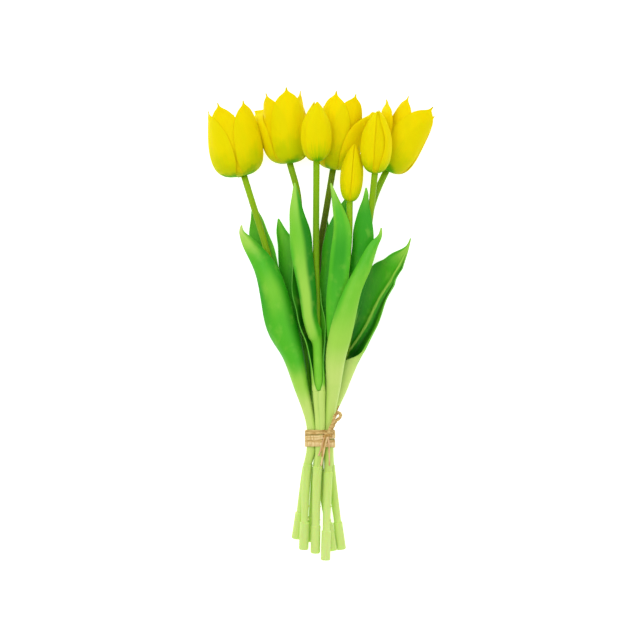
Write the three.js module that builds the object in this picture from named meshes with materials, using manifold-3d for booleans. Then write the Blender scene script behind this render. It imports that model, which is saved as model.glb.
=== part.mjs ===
// A bunch of seven yellow tulips held by a raffia tie, lying on its side.
// Millimetres. The blooms point along +Y, +Z is up, and the bunch rests on the plane Z = 0.
// Places are measured from the middle of the tie, and the whole bunch is then centred on its own box.

import * as THREE from 'three';
import { mergeVertices } from 'three/addons/utils/BufferGeometryUtils.js';
import Module from 'manifold-3d';

// Driving dimensions
const stemRadius = 2.8;
const lowerStemRadius = 3.0;
const neckRadius = 2.5;
const footRadius = 3.3;
const sleeveRadius = 4.3;
const sleeveEdge = 1.2;
const stemSides = 10;
const leafThickness = 1.0;
const sheathRadius = 4.0;
const sheathCurl = 166;
const petalThickness = 1.0;
const clearance = 0.3;
const topGap = 0.6;
const tieHeight = 18;
const stemSpacing = 9.4;
const tieHalfWidth = 11;
const wrapThickness = 1.3;
const boxOffset = new THREE.Vector3(-1, -105.45, 0);

// Colours and finishes
const petalYellow = { color: 0xf0dc00, roughness: 0.55, metalness: 0 };
const stemGreen = { color: 0x94b428, roughness: 0.5, metalness: 0 };
const leafGreen = { color: 0x4aac32, roughness: 0.45, metalness: 0 };
const raffiaTan = { color: 0xcdb478, roughness: 0.85, metalness: 0 };
const heartGreen = { color: 0xa8b43c, roughness: 0.7, metalness: 0 };

const wasm = await Module();
wasm.setup();

const bunch = new THREE.Group();

function addMesh(name, geometry, finish) {
  const mesh = new THREE.Mesh(geometry, new THREE.MeshStandardMaterial(finish));
  mesh.name = name;
  bunch.add(mesh);
  return mesh;
}

const radians = THREE.MathUtils.degToRad;
const up = new THREE.Vector3(0, 0, 1);

// Value of a station list at u from 0 to 1, on a smooth line through every station
function stationAt(stations, u) {
  const place = Math.min(u, 0.999999) * (stations.length - 1);
  const index = Math.floor(place);
  const f = place - index;
  const last = stations.length - 1;
  const p0 = stations[Math.max(index - 1, 0)];
  const p1 = stations[index];
  const p2 = stations[index + 1];
  const p3 = stations[Math.min(index + 2, last)];
  return p1.map((value, k) => {
    const slopeIn = (p2[k] - p0[k]) / 2;
    const slopeOut = (p3[k] - p1[k]) / 2;
    const rise = p2[k] - value;
    return value + f * (slopeIn + f * (3 * rise - 2 * slopeIn - slopeOut + f * (slopeIn + slopeOut - 2 * rise)));
  });
}

// Closed thin body: a grid of points on each face, joined round its rim
function shellGeometry(rows, columns, pointAt) {
  const positions = [];
  const indices = [];
  const stride = columns + 1;
  const faceSize = (rows + 1) * stride;
  for (const side of [1, -1]) {
    for (let i = 0; i <= rows; i += 1) {
      for (let j = 0; j <= columns; j += 1) {
        positions.push(...pointAt(i / rows, (2 * j) / columns - 1, side).toArray());
      }
    }
  }
  for (let i = 0; i < rows; i += 1) {
    for (let j = 0; j < columns; j += 1) {
      const a = i * stride + j;
      const b = a + 1;
      const c = a + stride;
      const d = c + 1;
      indices.push(a, b, d, a, d, c);
      indices.push(faceSize + a, faceSize + d, faceSize + b);
      indices.push(faceSize + a, faceSize + c, faceSize + d);
    }
  }
  const rim = [];
  for (let j = 0; j < columns; j += 1) rim.push(j);
  for (let i = 0; i < rows; i += 1) rim.push(i * stride + columns);
  for (let j = columns; j > 0; j -= 1) rim.push(rows * stride + j);
  for (let i = rows; i > 0; i -= 1) rim.push(i * stride);
  rim.forEach((a, k) => {
    const b = rim[(k + 1) % rim.length];
    indices.push(a, faceSize + a, faceSize + b, a, faceSize + b, b);
  });
  const geometry = new THREE.BufferGeometry();
  geometry.setAttribute('position', new THREE.Float32BufferAttribute(positions, 3));
  geometry.setIndex(indices);
  return geometry;
}

// Solid round bar through a list of rings, each with a centre, two side directions and two half sizes
function barGeometry(rings, sides) {
  const positions = [];
  const indices = [];
  rings.forEach((ring) => {
    for (let k = 0; k < sides; k += 1) {
      const angle = (2 * Math.PI * k) / sides;
      const point = ring.centre.clone();
      point.addScaledVector(ring.across, ring.halfWidth * Math.cos(angle));
      point.addScaledVector(ring.over, ring.halfHeight * Math.sin(angle));
      positions.push(...point.toArray());
    }
  });
  for (let i = 0; i < rings.length - 1; i += 1) {
    for (let k = 0; k < sides; k += 1) {
      const a = i * sides + k;
      const b = i * sides + ((k + 1) % sides);
      indices.push(a, b, b + sides, a, b + sides, a + sides);
    }
  }
  const end = (rings.length - 1) * sides;
  for (let k = 1; k < sides - 1; k += 1) {
    indices.push(0, k + 1, k);
    indices.push(end, end + k, end + k + 1);
  }
  const geometry = new THREE.BufferGeometry();
  geometry.setAttribute('position', new THREE.Float32BufferAttribute(positions, 3));
  geometry.setIndex(indices);
  return geometry;
}

function toSolid(geometry) {
  const plain = geometry.clone();
  plain.deleteAttribute('normal');
  plain.deleteAttribute('uv');
  const welded = mergeVertices(plain, 1e-4);
  return new wasm.Manifold(new wasm.Mesh({
    numProp: 3,
    vertProperties: new Float32Array(welded.attributes.position.array),
    triVerts: new Uint32Array(welded.index.array),
  }));
}

// One solid from overlapping ones; spaces closed in on every side are filled
function joinedSolid(geometries) {
  const joined = wasm.Manifold.union(geometries.map(toSolid)).simplify(0.08);
  return joined.decompose().reduce((best, body) => (body.volume() > best.volume() ? body : best));
}

// The lowest parts are pressed flat where they rest on the table
function pressedFlat(solid) {
  return solid.trimByPlane([0, 0, 1], 0);
}

function solidGeometry(solid) {
  const mesh = solid.getMesh();
  const geometry = new THREE.BufferGeometry();
  geometry.setAttribute('position', new THREE.Float32BufferAttribute(Array.from(mesh.vertProperties), 3));
  geometry.setIndex(Array.from(mesh.triVerts));
  return geometry;
}

// Stems: each runs from its cut end, straight through the tie, to its bloom.
// end, rim: the cut end and the foot of the leaf sheath. slot: x and z in the tie. path: points up to the bloom.
const hexagonX = stemSpacing * Math.cos(radians(30));
const hexagonZ = stemSpacing / 2;
const stems = {
  a: {
    slot: [-hexagonX, tieHeight + hexagonZ],
    end: [-15.4, -104.8, 12.6], rim: [-11.7, -28, 20.5], sleeve: 26,
    tube: [-24.2, 4.15, 3.5],
    path: [[-27.5, 80, 23.6], [-48.5, 170.5, 23.8], [-70.8, 244.4, 24.2]],
  },
  b: {
    slot: [-hexagonX, tieHeight - hexagonZ],
    end: [-22.4, -95, 3.8], rim: [-12.2, -28, 11], sleeve: 25,
    tube: [-27.4, 4.1, 3.5],
    path: [[-15, 90, 15.6], [-18, 165, 18.4], [-20.5, 226, 21.2], [-28.1, 256, 22.2]],
  },
  c: {
    slot: [0, tieHeight + stemSpacing],
    end: [-4.4, -108, 13.4], rim: [-2.3, -28, 25.5], sleeve: 26,
    tube: [-26.6, 4.15, 3.8],
    path: [[-1, 40, 29], [-2, 80, 31], [-3.6, 165, 38], [-3.3, 256.9, 50]],
  },
  d: {
    slot: [0, tieHeight - stemSpacing],
    end: [-9.3, -98, 4.6], rim: [-3.3, -28, 6.8], sleeve: 24,
    tube: [-28, 4.1, 3.5],
    path: [[-0.6, 45, 9.6], [-1.4, 80, 12.5], [-1.9, 164, 18.4], [5, 208, 18.6], [12.1, 250.4, 18.5]],
  },
  e: {
    slot: [hexagonX, tieHeight + hexagonZ],
    end: [5.1, -114.6, 17.2], rim: [7.6, -28, 21.8], sleeve: 28,
    tube: [-31.7, 4.15, 3.5],
    path: [[16.8, 90, 33.6], [26.6, 180, 41.6], [27.6, 219.6, 44]],
  },
  f: {
    slot: [0, tieHeight],
    end: [11.8, -106, 8.2], rim: [-0.2, -28, 16], sleeve: 26,
    tube: [-28.6, 3.8, 3.2],
    path: [[1.2, 28, 18.4], [6.4, 48, 18.6], [18, 80, 20.8], [33, 130, 27.4], [46.5, 205, 39.6], [50.9, 246, 50]],
  },
  g: {
    slot: [hexagonX, tieHeight - hexagonZ],
    end: [20, -105, 3.8], rim: [9.8, -28, 11.3], sleeve: 26,
    tube: [-26.1, 4.1, 3.6],
    path: [[24, 80, 16], [38.5, 160, 18.4], [48.5, 216, 18.6], [54, 232, 18.5], [62, 249.3, 18.7]],
  },
};
const stemLevels = [-28, -11, 11, 30, 50, 75, 100, 125, 150, 175, 200, 220];

function stemCurve(stem) {
  const [x, z] = stem.slot;
  const points = [stem.end, stem.rim, [x, -tieHalfWidth, z], [x, tieHalfWidth, z], ...stem.path];
  return new THREE.CatmullRomCurve3(points.map((p) => new THREE.Vector3(...p)), false, 'centripetal');
}

const curves = {};
const curveSamples = {};
for (const [name, stem] of Object.entries(stems)) {
  curves[name] = stemCurve(stem);
  curveSamples[name] = curves[name].getPoints(400);
}

// Point of a stem's centre line at a given height y along the bunch
function stemPoint(name, y) {
  const samples = curveSamples[name];
  let low = 0;
  let high = samples.length - 1;
  while (high - low > 1) {
    const middle = Math.floor((low + high) / 2);
    if (samples[middle].y < y) low = middle;
    else high = middle;
  }
  const f = (y - samples[low].y) / (samples[high].y - samples[low].y);
  return samples[low].clone().lerp(samples[high], f);
}

function stemTangent(name, y) {
  return stemPoint(name, y + 0.5).sub(stemPoint(name, y - 0.5)).normalize();
}

function frameAlong(tangent) {
  const over = up.clone().addScaledVector(tangent, -up.dot(tangent)).normalize();
  const across = new THREE.Vector3().crossVectors(tangent, over);
  return { over, across };
}

function stemGeometry(name, stem) {
  const bottom = stem.end[1];
  const shoulder = bottom + stem.sleeve;
  const [rim, rimRadius, shoulderRadius] = stem.tube;
  const top = stem.path[stem.path.length - 1][1] - topGap;
  const levels = [
    [bottom, sleeveRadius - 0.5], [bottom + 0.8, sleeveRadius], [shoulder - sleeveEdge, sleeveRadius],
    [shoulder, shoulderRadius], [(shoulder + rim) / 2, (shoulderRadius + rimRadius) / 2], [rim, rimRadius],
    [rim + 0.3, neckRadius],
  ];
  for (const y of [...stemLevels.filter((level) => level > rim + 4 && level < top - 4), top]) {
    const radius = y < -tieHalfWidth ? neckRadius
      : THREE.MathUtils.mapLinear(y, -tieHalfWidth, top, lowerStemRadius - 0.08, stemRadius);
    levels.push([y, radius]);
  }
  const rings = levels.map(([y, radius]) => {
    const { over, across } = frameAlong(stemTangent(name, y));
    return { centre: stemPoint(name, y), over, across: across.negate(), halfWidth: radius, halfHeight: radius };
  });
  return solidGeometry(pressedFlat(toSolid(barGeometry(rings, stemSides))));
}

// Leaves: a sheath round the stem that opens into a waved blade.
// foot, mouth: where the closed sheath starts and ends along the stem. mouthRadius: its radius there.
// blade: stations of x, y, z, half width as seen, curl of each half and the way the hollow side faces, in degrees
// (0 faces up, 180 faces down). fold, depth: extra curl of the right half, and the share of a full hollow's depth.
const leaves = {
  leaf_front_left: {
    stem: 'a', foot: -23.4, mouth: 26, mouthRadius: 4.6, wave: 1.1,
    blade: [
      [-17.5, 47.5, 30, 6.4, 105, 180], [-24.6, 75.5, 33.4, 9.6, 84, 180], [-34.1, 100.7, 36.6, 14.2, 64, 180],
      [-41.5, 130.5, 38.4, 13.4, 55, 180], [-51.9, 158.4, 38.6, 10.4, 50, 180], [-65.6, 181, 37, 6.2, 45, 180],
      [-72.6, 191, 36, 2.6, 40, 180], [-73, 198.4, 36.5, 0.5, 30, 180],
    ],
  },
  leaf_behind_left: {
    stem: 'a', foot: 50, mouth: 62, mouthRadius: 4.2, wave: 0.8,
    blade: [
      [-35, 100, 17.4, 7.2, 75, 0], [-44.5, 140, 15.8, 10, 50, 0], [-52.5, 170, 15.8, 11, 40, 0],
      [-57, 190, 16.4, 9, 36, 0], [-60, 206, 17.2, 5, 34, 0], [-62.4, 219, 18, 0.5, 30, 0],
    ],
  },
  leaf_low_left: {
    stem: 'b', foot: -26.6, mouth: 20, mouthRadius: 4, wave: 0.8,
    blade: [
      [-12.8, 44, 9, 4.6, 120, 0], [-17.4, 78, 8, 6.8, 76, 0], [-23.4, 116, 7.6, 8.8, 48, 0],
      [-27.5, 150, 8, 9.6, 38, 0], [-30.5, 175, 8.6, 9, 36, 0], [-36, 192, 9, 5, 34, 0],
      [-39, 205, 9.4, 0.5, 30, 0],
    ],
  },
  leaf_rolled: {
    stem: 'c', foot: 44, mouth: 84, mouthRadius: 4.2, face: 180, wave: 0.5,
    blade: [
      [-2.8, 96, 39, 5.6, 110, 180], [-7.6, 112, 43, 6.8, 66, 180], [-11.4, 134, 45, 8, 58, 180],
      [-15.1, 160, 46.8, 9.4, 55, 180], [-17.9, 185, 48, 10.2, 55, 180], [-21, 205, 48, 7.4, 55, 180],
      [-22.4, 222, 47, 4.2, 50, 180], [-23.6, 237.5, 46, 0.5, 30, 180],
    ],
  },
  leaf_channelled: {
    stem: 'c', foot: -25.8, mouth: 36, mouthRadius: 5.5, wave: 1.1,
    blade: [
      [-1.5, 52, 23.6, 6, 150, 0], [-2.6, 70, 24, 6.4, 125, 0], [-4, 90, 24, 8.8, 102, 0],
      [-8.1, 107, 24.2, 12.2, 84, 0], [-10.4, 125, 25.4, 12.2, 76, 0], [-14, 140, 27, 12, 66, 0],
      [-15.4, 157, 29, 11.2, 58, 0], [-16.8, 176, 31.4, 7.6, 50, 0], [-18.6, 192, 33, 0.5, 40, 0],
    ],
  },
  leaf_upright: {
    stem: 'e', foot: 46, mouth: 60, mouthRadius: 4.2, wave: 0.6,
    blade: [
      [15.2, 80, 38.4, 5.6, 95, 180], [14.2, 98, 41.6, 7.6, 66, 180], [15.5, 126, 44.4, 9.8, 45, 180],
      [17.4, 154, 46.6, 9.5, 38, 180], [19.4, 173, 48.6, 9.3, 34, 180], [20.5, 191, 50, 8.4, 32, 180],
      [18.2, 208, 50, 5.8, 34, 180], [13, 226, 49, 2.4, 34, 180], [10, 237, 48, 0.5, 30, 180],
    ],
  },
  leaf_front_right: {
    stem: 'e', foot: -30.9, mouth: 20, mouthRadius: 4.2, wave: 0.8,
    blade: [
      [12.4, 46, 35.4, 6.2, 110, 180], [14.2, 71, 43, 8.8, 78, 180], [17.4, 91, 47.6, 10.2, 60, 180],
      [23.8, 114, 51, 9.8, 50, 180], [32, 141, 52, 7.6, 46, 180], [41.6, 162, 51.4, 6.4, 45, 180],
      [49.6, 178, 50.6, 4.2, 45, 180], [55.6, 188, 50, 1.8, 40, 180], [56.9, 195.6, 50, 0.5, 30, 180],
    ],
  },
  leaf_behind_right: {
    stem: 'f', foot: -27.8, mouth: 27, mouthRadius: 4, wave: 0.6,
    blade: [
      [7, 50, 23.6, 4.7, 105, 180], [17.4, 78, 26.2, 5.8, 70, 180], [25, 106, 29.6, 7.2, 52, 180],
      [30.6, 130, 32.8, 8.6, 44, 180], [36, 155, 36.2, 9.4, 38, 176], [39, 175, 39.6, 10, 34, 172],
      [39.8, 192, 42.8, 9.6, 32, 170], [41.4, 210, 45, 6, 32, 172], [42.8, 222, 45.6, 3.2, 32, 176],
      [42.9, 233, 45.8, 0.5, 30, 180],
    ],
  },
  leaf_behind_middle: {
    stem: 'd', foot: -27.2, mouth: 22, mouthRadius: 4, wave: 0.7,
    blade: [
      [-0.6, 44, 14.4, 4.8, 105, 180], [1, 70, 18, 6.8, 54, 180], [5, 100, 21.6, 9.4, 38, 180],
      [9, 130, 24.6, 12.4, 34, 180], [14, 157, 26.6, 13, 30, 180], [14.8, 176, 28.2, 13, 28, 180],
      [17, 196, 30, 9, 28, 180], [20.6, 212, 31, 4.6, 28, 180], [24.2, 223, 31.6, 0.5, 25, 180],
    ],
  },
  leaf_far_right: {
    stem: 'g', foot: -25.3, mouth: 22, mouthRadius: 4.2, wave: 0.9, fold: 1.4, depth: 0.6,
    blade: [
      [18.5, 42, 7.9, 6.7, 150, -15], [23.1, 55, 7.7, 7.6, 140, -15], [29.1, 73.6, 7, 9.2, 118, -15],
      [35.7, 89, 8.5, 11, 92, -15], [42.6, 106, 10.3, 11.7, 72, -15], [46.4, 118, 11.5, 11.8, 66, -15],
      [51.7, 133, 12.3, 12.1, 65, -15], [59.6, 150, 13.1, 14, 65, -15], [67.1, 160, 17, 9.8, 60, -15],
      [72.2, 167, 19.5, 7.8, 55, -15], [79.4, 175, 24.7, 3, 50, -15], [82.4, 180, 26.8, 1.2, 40, -15],
      [84.4, 186.4, 28.6, 0.5, 30, -15],
    ],
  },
  leaf_under_middle: {
    stem: 'd', foot: 84, mouth: 93, mouthRadius: 4, wave: 0.7,
    blade: [
      [-1.2, 106, 7.4, 6, 78, 0], [1, 128, 5.6, 9.2, 42, 0], [3.4, 150, 5.4, 10.2, 34, 0],
      [5, 178, 6.8, 7.6, 32, 0], [6, 206, 9, 0.5, 30, 0],
    ],
  },
};
const bladeRows = 10;
const leafColumns = 8;

// Stations of the whole leaf: its sheath round the stem, then its blade
function leafStations(leaf) {
  const face = leaf.blade[0][5];
  const closed = [[leaf.foot, leaf.foot < 0 ? footRadius : sheathRadius], [leaf.mouth, leaf.mouthRadius]];
  if (leaf.foot < 0) closed.splice(1, 0, [-tieHalfWidth, sheathRadius], [tieHalfWidth, sheathRadius]);
  const sheath = closed.map(([y, radius]) => {
    const centre = stemPoint(leaf.stem, y);
    const drop = radians(face);
    return [centre.x - radius * Math.sin(drop), y, centre.z - radius * Math.cos(drop), radius, sheathCurl, face];
  });
  return { sheath, stations: [...sheath, ...leaf.blade] };
}

// A point is bent clear of every stem
function clearOfStems(point) {
  for (const name of Object.keys(stems)) {
    const top = stems[name].path[stems[name].path.length - 1][1];
    if (point.y < top - 2) {
      const away = point.clone().sub(stemPoint(name, point.y));
      const tangent = stemTangent(name, point.y);
      away.addScaledVector(tangent, -away.dot(tangent));
      const radius = THREE.MathUtils.mapLinear(
        THREE.MathUtils.clamp(point.y, -24, -tieHalfWidth), -24, -tieHalfWidth, neckRadius, lowerStemRadius);
      const least = radius + clearance + leafThickness / 2 + (point.y < -tieHalfWidth ? 0 : 0.3);
      if (away.length() < least) point.addScaledVector(away.clone().normalize(), least - away.length());
    }
  }
  return point;
}

function leafGeometry(leaf) {
  const { sheath, stations } = leafStations(leaf);
  const sheathShare = (sheath.length - 1) / (stations.length - 1);
  const rows = sheath.length - 1 + bladeRows;
  const spineAt = (u) => {
    const [x, y, z, radius, , face] = stationAt(stations, THREE.MathUtils.clamp(u, 0, 1));
    if (y > leaf.mouth) return new THREE.Vector3(x, y, z);
    const centre = stemPoint(leaf.stem, y);
    centre.x -= radius * Math.sin(radians(face));
    centre.z -= radius * Math.cos(radians(face));
    return centre;
  };
  return shellGeometry(rows, leafColumns, (share, v, side) => {
    const row = Math.round(share * rows) - sheath.length + 1;
    const u = row < 0 ? sheathShare + row / (stations.length - 1) : sheathShare + ((1 - sheathShare) * row) / bladeRows;
    const [, , , halfWidth, curl, face] = stationAt(stations, u);
    const tangent = spineAt(Math.min(u + 0.01, 1)).sub(spineAt(Math.max(u - 0.01, 0))).normalize();
    const { over, across } = frameAlong(tangent);
    const turn = radians(face);
    const hollow = over.clone().multiplyScalar(Math.cos(turn)).addScaledVector(across, Math.sin(turn));
    const right = across.clone().multiplyScalar(Math.cos(turn)).addScaledVector(over, -Math.sin(turn));
    const bend = radians(curl);
    const radius = halfWidth / Math.sin(Math.min(bend, Math.PI / 2));
    const opened = THREE.MathUtils.smoothstep(u, 0.3, 0.5);
    const angle = v * bend * (v > 0 ? THREE.MathUtils.lerp(1, leaf.fold ?? 1, opened) : 1);
    const depth = THREE.MathUtils.lerp(1, leaf.depth ?? 1, opened);
    const inward = hollow.clone().multiplyScalar(Math.cos(angle)).addScaledVector(right, -Math.sin(angle));
    const open = THREE.MathUtils.smoothstep(u, 0.4, 0.6) * (1 - THREE.MathUtils.smoothstep(u, 0.85, 1));
    const ripple = leaf.wave * open * Math.abs(v) ** 3 * Math.sin(26 * u + 1.7 * Math.sign(v));
    const edge = 1 - 0.35 * Math.abs(v) ** 4;
    const middle = spineAt(u).addScaledVector(hollow, radius * (1 - Math.cos(angle)) * depth)
      .addScaledVector(right, radius * Math.sin(angle)).addScaledVector(inward, ripple);
    return clearOfStems(middle).addScaledVector(inward, (side * leafThickness * edge) / 2);
  });
}

// Blooms: two whorls of three petals on a receptacle at the top of the stem.
// base, tip: the two ends of the bloom's axis. Each petal has the direction it faces, in degrees from straight up,
// the turn of its tip, its half width in degrees, its size and height as shares, and how far its tip leans out.
const blooms = {
  bloom_a: {
    base: [-73.8, 243.7, 24.2], tip: [-86, 312.9, 25.4], radius: 25, mouth: 0.86,
    petals: [
      { faces: -62.5, turn: -10, half: 59.5, top: 0.92 }, { faces: 52, turn: -7, half: 54, top: 0.975 },
      { faces: 173, half: 60.5, size: 0.996, top: 0.9 }, { faces: -16.5, turn: -12, half: 53, size: 0.935 },
      { faces: -120.5, half: 61, size: 0.933, top: 0.82 }, { faces: 112, half: 61.5, size: 0.941, top: 0.84 },
    ],
  },
  bloom_b: {
    base: [-28.1, 255.9, 22.2], tip: [-36, 325.4, 23], radius: 20.5, mouth: 1,
    petals: [
      { faces: 14, half: 60.5, size: 0.996 }, { faces: 135.5, half: 60.5, size: 1.004, top: 0.86 },
      { faces: -131.5, turn: -8, half: 59, size: 1.078, top: 0.74, lean: 13, hug: 0.9 },
      { faces: -48.5, turn: -4, half: 59.5, size: 0.99, top: 0.955 },
      { faces: 71.5, half: 60.5, size: 0.943, top: 0.94 }, { faces: 188.5, half: 61, size: 0.918, top: 0.86 },
    ],
  },
  bud_c: {
    base: [-3.3, 256.9, 50], tip: [-3.3, 312.6, 52.6], radius: 14, closed: true,
    petals: [
      { faces: 17.5, half: 62, size: 1.004 }, { faces: 134, half: 62, size: 1.002, top: 0.99 },
      { faces: -105, half: 59.5, size: 1.023 }, { faces: -44, half: 58.5, size: 0.946, top: 0.97 },
      { faces: 78, half: 59, size: 0.961, top: 0.97 }, { faces: -162.5, half: 59, size: 0.967, top: 0.97 },
    ],
  },
  bloom_d: {
    base: [12.1, 250.3, 18.5], tip: [24, 320, 21.6], radius: 20.4, mouth: 1,
    petals: [
      { faces: -28, half: 61.5, size: 1.002, top: 1.02 },
      { faces: 68, turn: 8, half: 58, size: 1.037, top: 0.83, lean: 12, hug: 0.4 },
      { faces: -149.5, half: 58.5, size: 1.004, top: 0.9 }, { faces: 30, half: 61, size: 0.966, top: 1.03 },
      { faces: 152.5, half: 59.5, size: 0.974, top: 0.88 }, { faces: -88.5, half: 58.5, size: 0.962, top: 0.88 },
    ],
  },
  bud_e: {
    base: [27.6, 219.6, 44], tip: [32, 273.1, 46], radius: 10.4, closed: true,
    petals: [
      { faces: 59.5, half: 59, size: 0.996 }, { faces: 179.5, half: 61.5, size: 1.004, top: 0.99 },
      { faces: -62.5, half: 61.5, size: 1.004 }, { faces: 2.5, half: 58, size: 0.938, top: 0.97 },
      { faces: 121.5, size: 0.932, top: 0.97 }, { faces: -116, size: 0.931, top: 0.97 },
    ],
  },
  bud_f: {
    base: [50.9, 245.9, 50], tip: [53.9, 304.6, 55], radius: 14.4, closed: true,
    petals: [
      { faces: 85, half: 54, size: 1.002 }, { faces: 190, half: 61.5, size: 1.003, top: 0.98 },
      { faces: -64, half: 57.5, size: 1.004, top: 0.985 }, { faces: 14, half: 59, size: 0.952, top: 0.97 },
      { faces: 133, half: 59.5, size: 0.949, top: 0.97 }, { faces: -106.5, half: 59, size: 0.965, top: 0.97 },
    ],
  },
  bloom_g: {
    base: [62, 249.3, 18.7], tip: [95.4, 311.6, 21], radius: 19.9, mouth: 1,
    petals: [
      { faces: 5.5, turn: 26, half: 60.5, size: 1.024, top: 1.02 }, { faces: 130.5, half: 58, top: 0.9 },
      { faces: -93.5, half: 38.5, top: 0.81, lean: 17, hug: 0.3 },
      { faces: -48.5, turn: -4, half: 61, size: 0.977, top: 0.995 },
      { faces: 58, half: 62, size: 0.959, top: 0.925 }, { faces: -170, half: 59, size: 0.972, top: 0.86 },
    ],
  },
};
const petalRows = 6;
const petalColumns = 4;
const petalHalfWidth = 60;

// Shape of a petal from its foot to its tip, as shares of the bloom: height, distance from the axis, half width
const openPetal = [
  [0, 0.1, 0.6], [0.012, 0.42, 0.74], [0.06, 0.7, 0.88], [0.15, 0.89, 0.97], [0.28, 0.98, 1], [0.44, 1, 0.98],
  [0.6, 0.985, 0.91], [0.72, 0.965, 0.79], [0.82, 0.94, 0.62], [0.89, 0.925, 0.42], [0.94, 0.92, 0.2],
  [0.97, 0.925, 0.075], [1, 0.95, 0.01],
];
const closedPetal = [
  [0, 0.14, 0.7], [0.02, 0.42, 0.8], [0.08, 0.68, 0.9], [0.18, 0.88, 0.98], [0.32, 0.985, 1], [0.46, 1, 1],
  [0.6, 0.93, 1], [0.72, 0.78, 1], [0.83, 0.57, 0.97], [0.91, 0.36, 0.9], [0.96, 0.2, 0.8], [1, 0.08, 0.5],
];

function bloomAxes(bloom) {
  const base = new THREE.Vector3(...bloom.base);
  const axis = new THREE.Vector3(...bloom.tip).sub(base);
  const height = axis.length();
  axis.normalize();
  const { over, across } = frameAlong(axis);
  return { base, axis, over, across, height };
}

function petalGeometry(bloom, petal) {
  const { base, axis, over, across, height } = bloomAxes(bloom);
  const { faces, turn = 0, half = petalHalfWidth, size = 1, top = 1, lean = 0, hug = 0 } = petal;
  return shellGeometry(petalRows, petalColumns, (share, t, side) => {
    const [rise, width, spread] = stationAt(bloom.closed ? closedPetal : openPetal, share);
    const angle = radians(faces + turn * rise * rise + t * half * spread);
    const outward = over.clone().multiplyScalar(Math.cos(angle)).addScaledVector(across, Math.sin(angle));
    const closing = bloom.closed ? 1 : 1 + (bloom.mouth - 1) * Math.max(0, (rise - 0.4) / 0.6) ** 1.5;
    const reach = bloom.radius * size * width * closing + lean * rise * rise * (1 - hug * t * t);
    return base.clone()
      .addScaledVector(axis, 0.6 + (height * top - 0.6) * rise)
      .addScaledVector(outward, Math.max(reach, 1) + (side * petalThickness) / 2);
  });
}

// The receptacle: a low cup that the petals grow from, flat on both ends
const receptacleHeight = 8;

function receptacleGeometry(bloom) {
  const { base, axis, over, across } = bloomAxes(bloom);
  const wide = Math.min(6.4, bloom.radius * 0.4);
  const levels = [[0, 2.9], [1.6, 0.75 * wide], [4, wide], [receptacleHeight, 0.7 * wide]];
  const rings = levels.map(([height, radius]) => ({
    centre: base.clone().addScaledVector(axis, height),
    over, across: across.clone().negate(), halfWidth: radius, halfHeight: radius,
  }));
  return barGeometry(rings, 8);
}

function bloomGeometry(bloom) {
  const pieces = [receptacleGeometry(bloom)];
  for (const petal of bloom.petals) pieces.push(petalGeometry(bloom, petal));
  return solidGeometry(pressedFlat(joinedSolid(pieces)));
}

// The heart of an open bloom: a pistil with a three-lobed top, and six stamens round it
const heartNames = ['a', 'b', 'd', 'g'];
const stamenCount = 6;

function heartGeometry(bloom) {
  const { base, axis, over, across } = bloomAxes(bloom);
  const foot = receptacleHeight + clearance;
  const ringAt = (height, radius, offset) => ({
    centre: base.clone().addScaledVector(axis, height).add(offset),
    over, across: across.clone().negate(), halfWidth: radius, halfHeight: radius,
  });
  const none = new THREE.Vector3();
  const pistil = [[foot, 4], [foot + 1.4, 3.6], [foot + 20, 2.2], [foot + 22, 3.8], [foot + 24, 3]];
  const pieces = [barGeometry(pistil.map(([height, radius]) => ringAt(height, radius, none)), 6)];
  for (let k = 0; k < stamenCount; k += 1) {
    const angle = (2 * Math.PI * k) / stamenCount;
    const outward = over.clone().multiplyScalar(Math.cos(angle)).addScaledVector(across, Math.sin(angle));
    const stamen = [[foot + 0.4, 0.9, 2.8], [foot + 9, 0.9, 6], [foot + 11, 1.6, 6.6], [foot + 19, 1.1, 8]];
    pieces.push(barGeometry(stamen.map(([height, radius, reach]) => (
      ringAt(height, radius, outward.clone().multiplyScalar(reach)))), 3));
  }
  return solidGeometry(joinedSolid(pieces));
}

// The raffia tie: a wound band that follows the outline of the seven sheathed stems
const wrapSection = [
  [-8.4, 0.9], [-6, 1], [-5, 0.45], [-3.8, 1], [-1.6, 0.95], [-0.6, 0.45],
  [0.6, 0.95], [2.8, 1], [3.8, 0.45], [5, 0.95], [6.8, 0.85],
];
const wrapSteps = 24;

// Point on the outline of the stem bundle in the direction of an angle, at a distance outside it
function bundleOutline(angle, outside) {
  const direction = new THREE.Vector2(Math.cos(angle), Math.sin(angle));
  const corner = Math.round((angle - Math.PI / 6) / (Math.PI / 3)) * (Math.PI / 3) + Math.PI / 6;
  const reach = sheathRadius + leafThickness / 2 + clearance + outside;
  return new THREE.Vector2(Math.cos(corner), Math.sin(corner)).multiplyScalar(stemSpacing)
    .addScaledVector(direction, reach);
}

function wrapGeometry() {
  const positions = [];
  const indices = [];
  const section = [[-9.2, 0], ...wrapSection, [7.4, 0]];
  const points = section.length;
  for (let k = 0; k < wrapSteps; k += 1) {
    const angle = (2 * Math.PI * (k + 0.5)) / wrapSteps;
    section.forEach(([y, share]) => {
      const place = bundleOutline(angle, share * wrapThickness);
      positions.push(place.x, y + 0.5 * Math.sin(angle + 0.25 * y), tieHeight + place.y);
    });
  }
  for (let k = 0; k < wrapSteps; k += 1) {
    const next = ((k + 1) % wrapSteps) * points;
    for (let m = 0; m < points; m += 1) {
      const a = k * points + m;
      const b = k * points + ((m + 1) % points);
      const c = next + m;
      const d = next + ((m + 1) % points);
      indices.push(a, b, d, a, d, c);
    }
  }
  const geometry = new THREE.BufferGeometry();
  geometry.setAttribute('position', new THREE.Float32BufferAttribute(positions, 3));
  geometry.setIndex(indices);
  return geometry;
}

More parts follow.
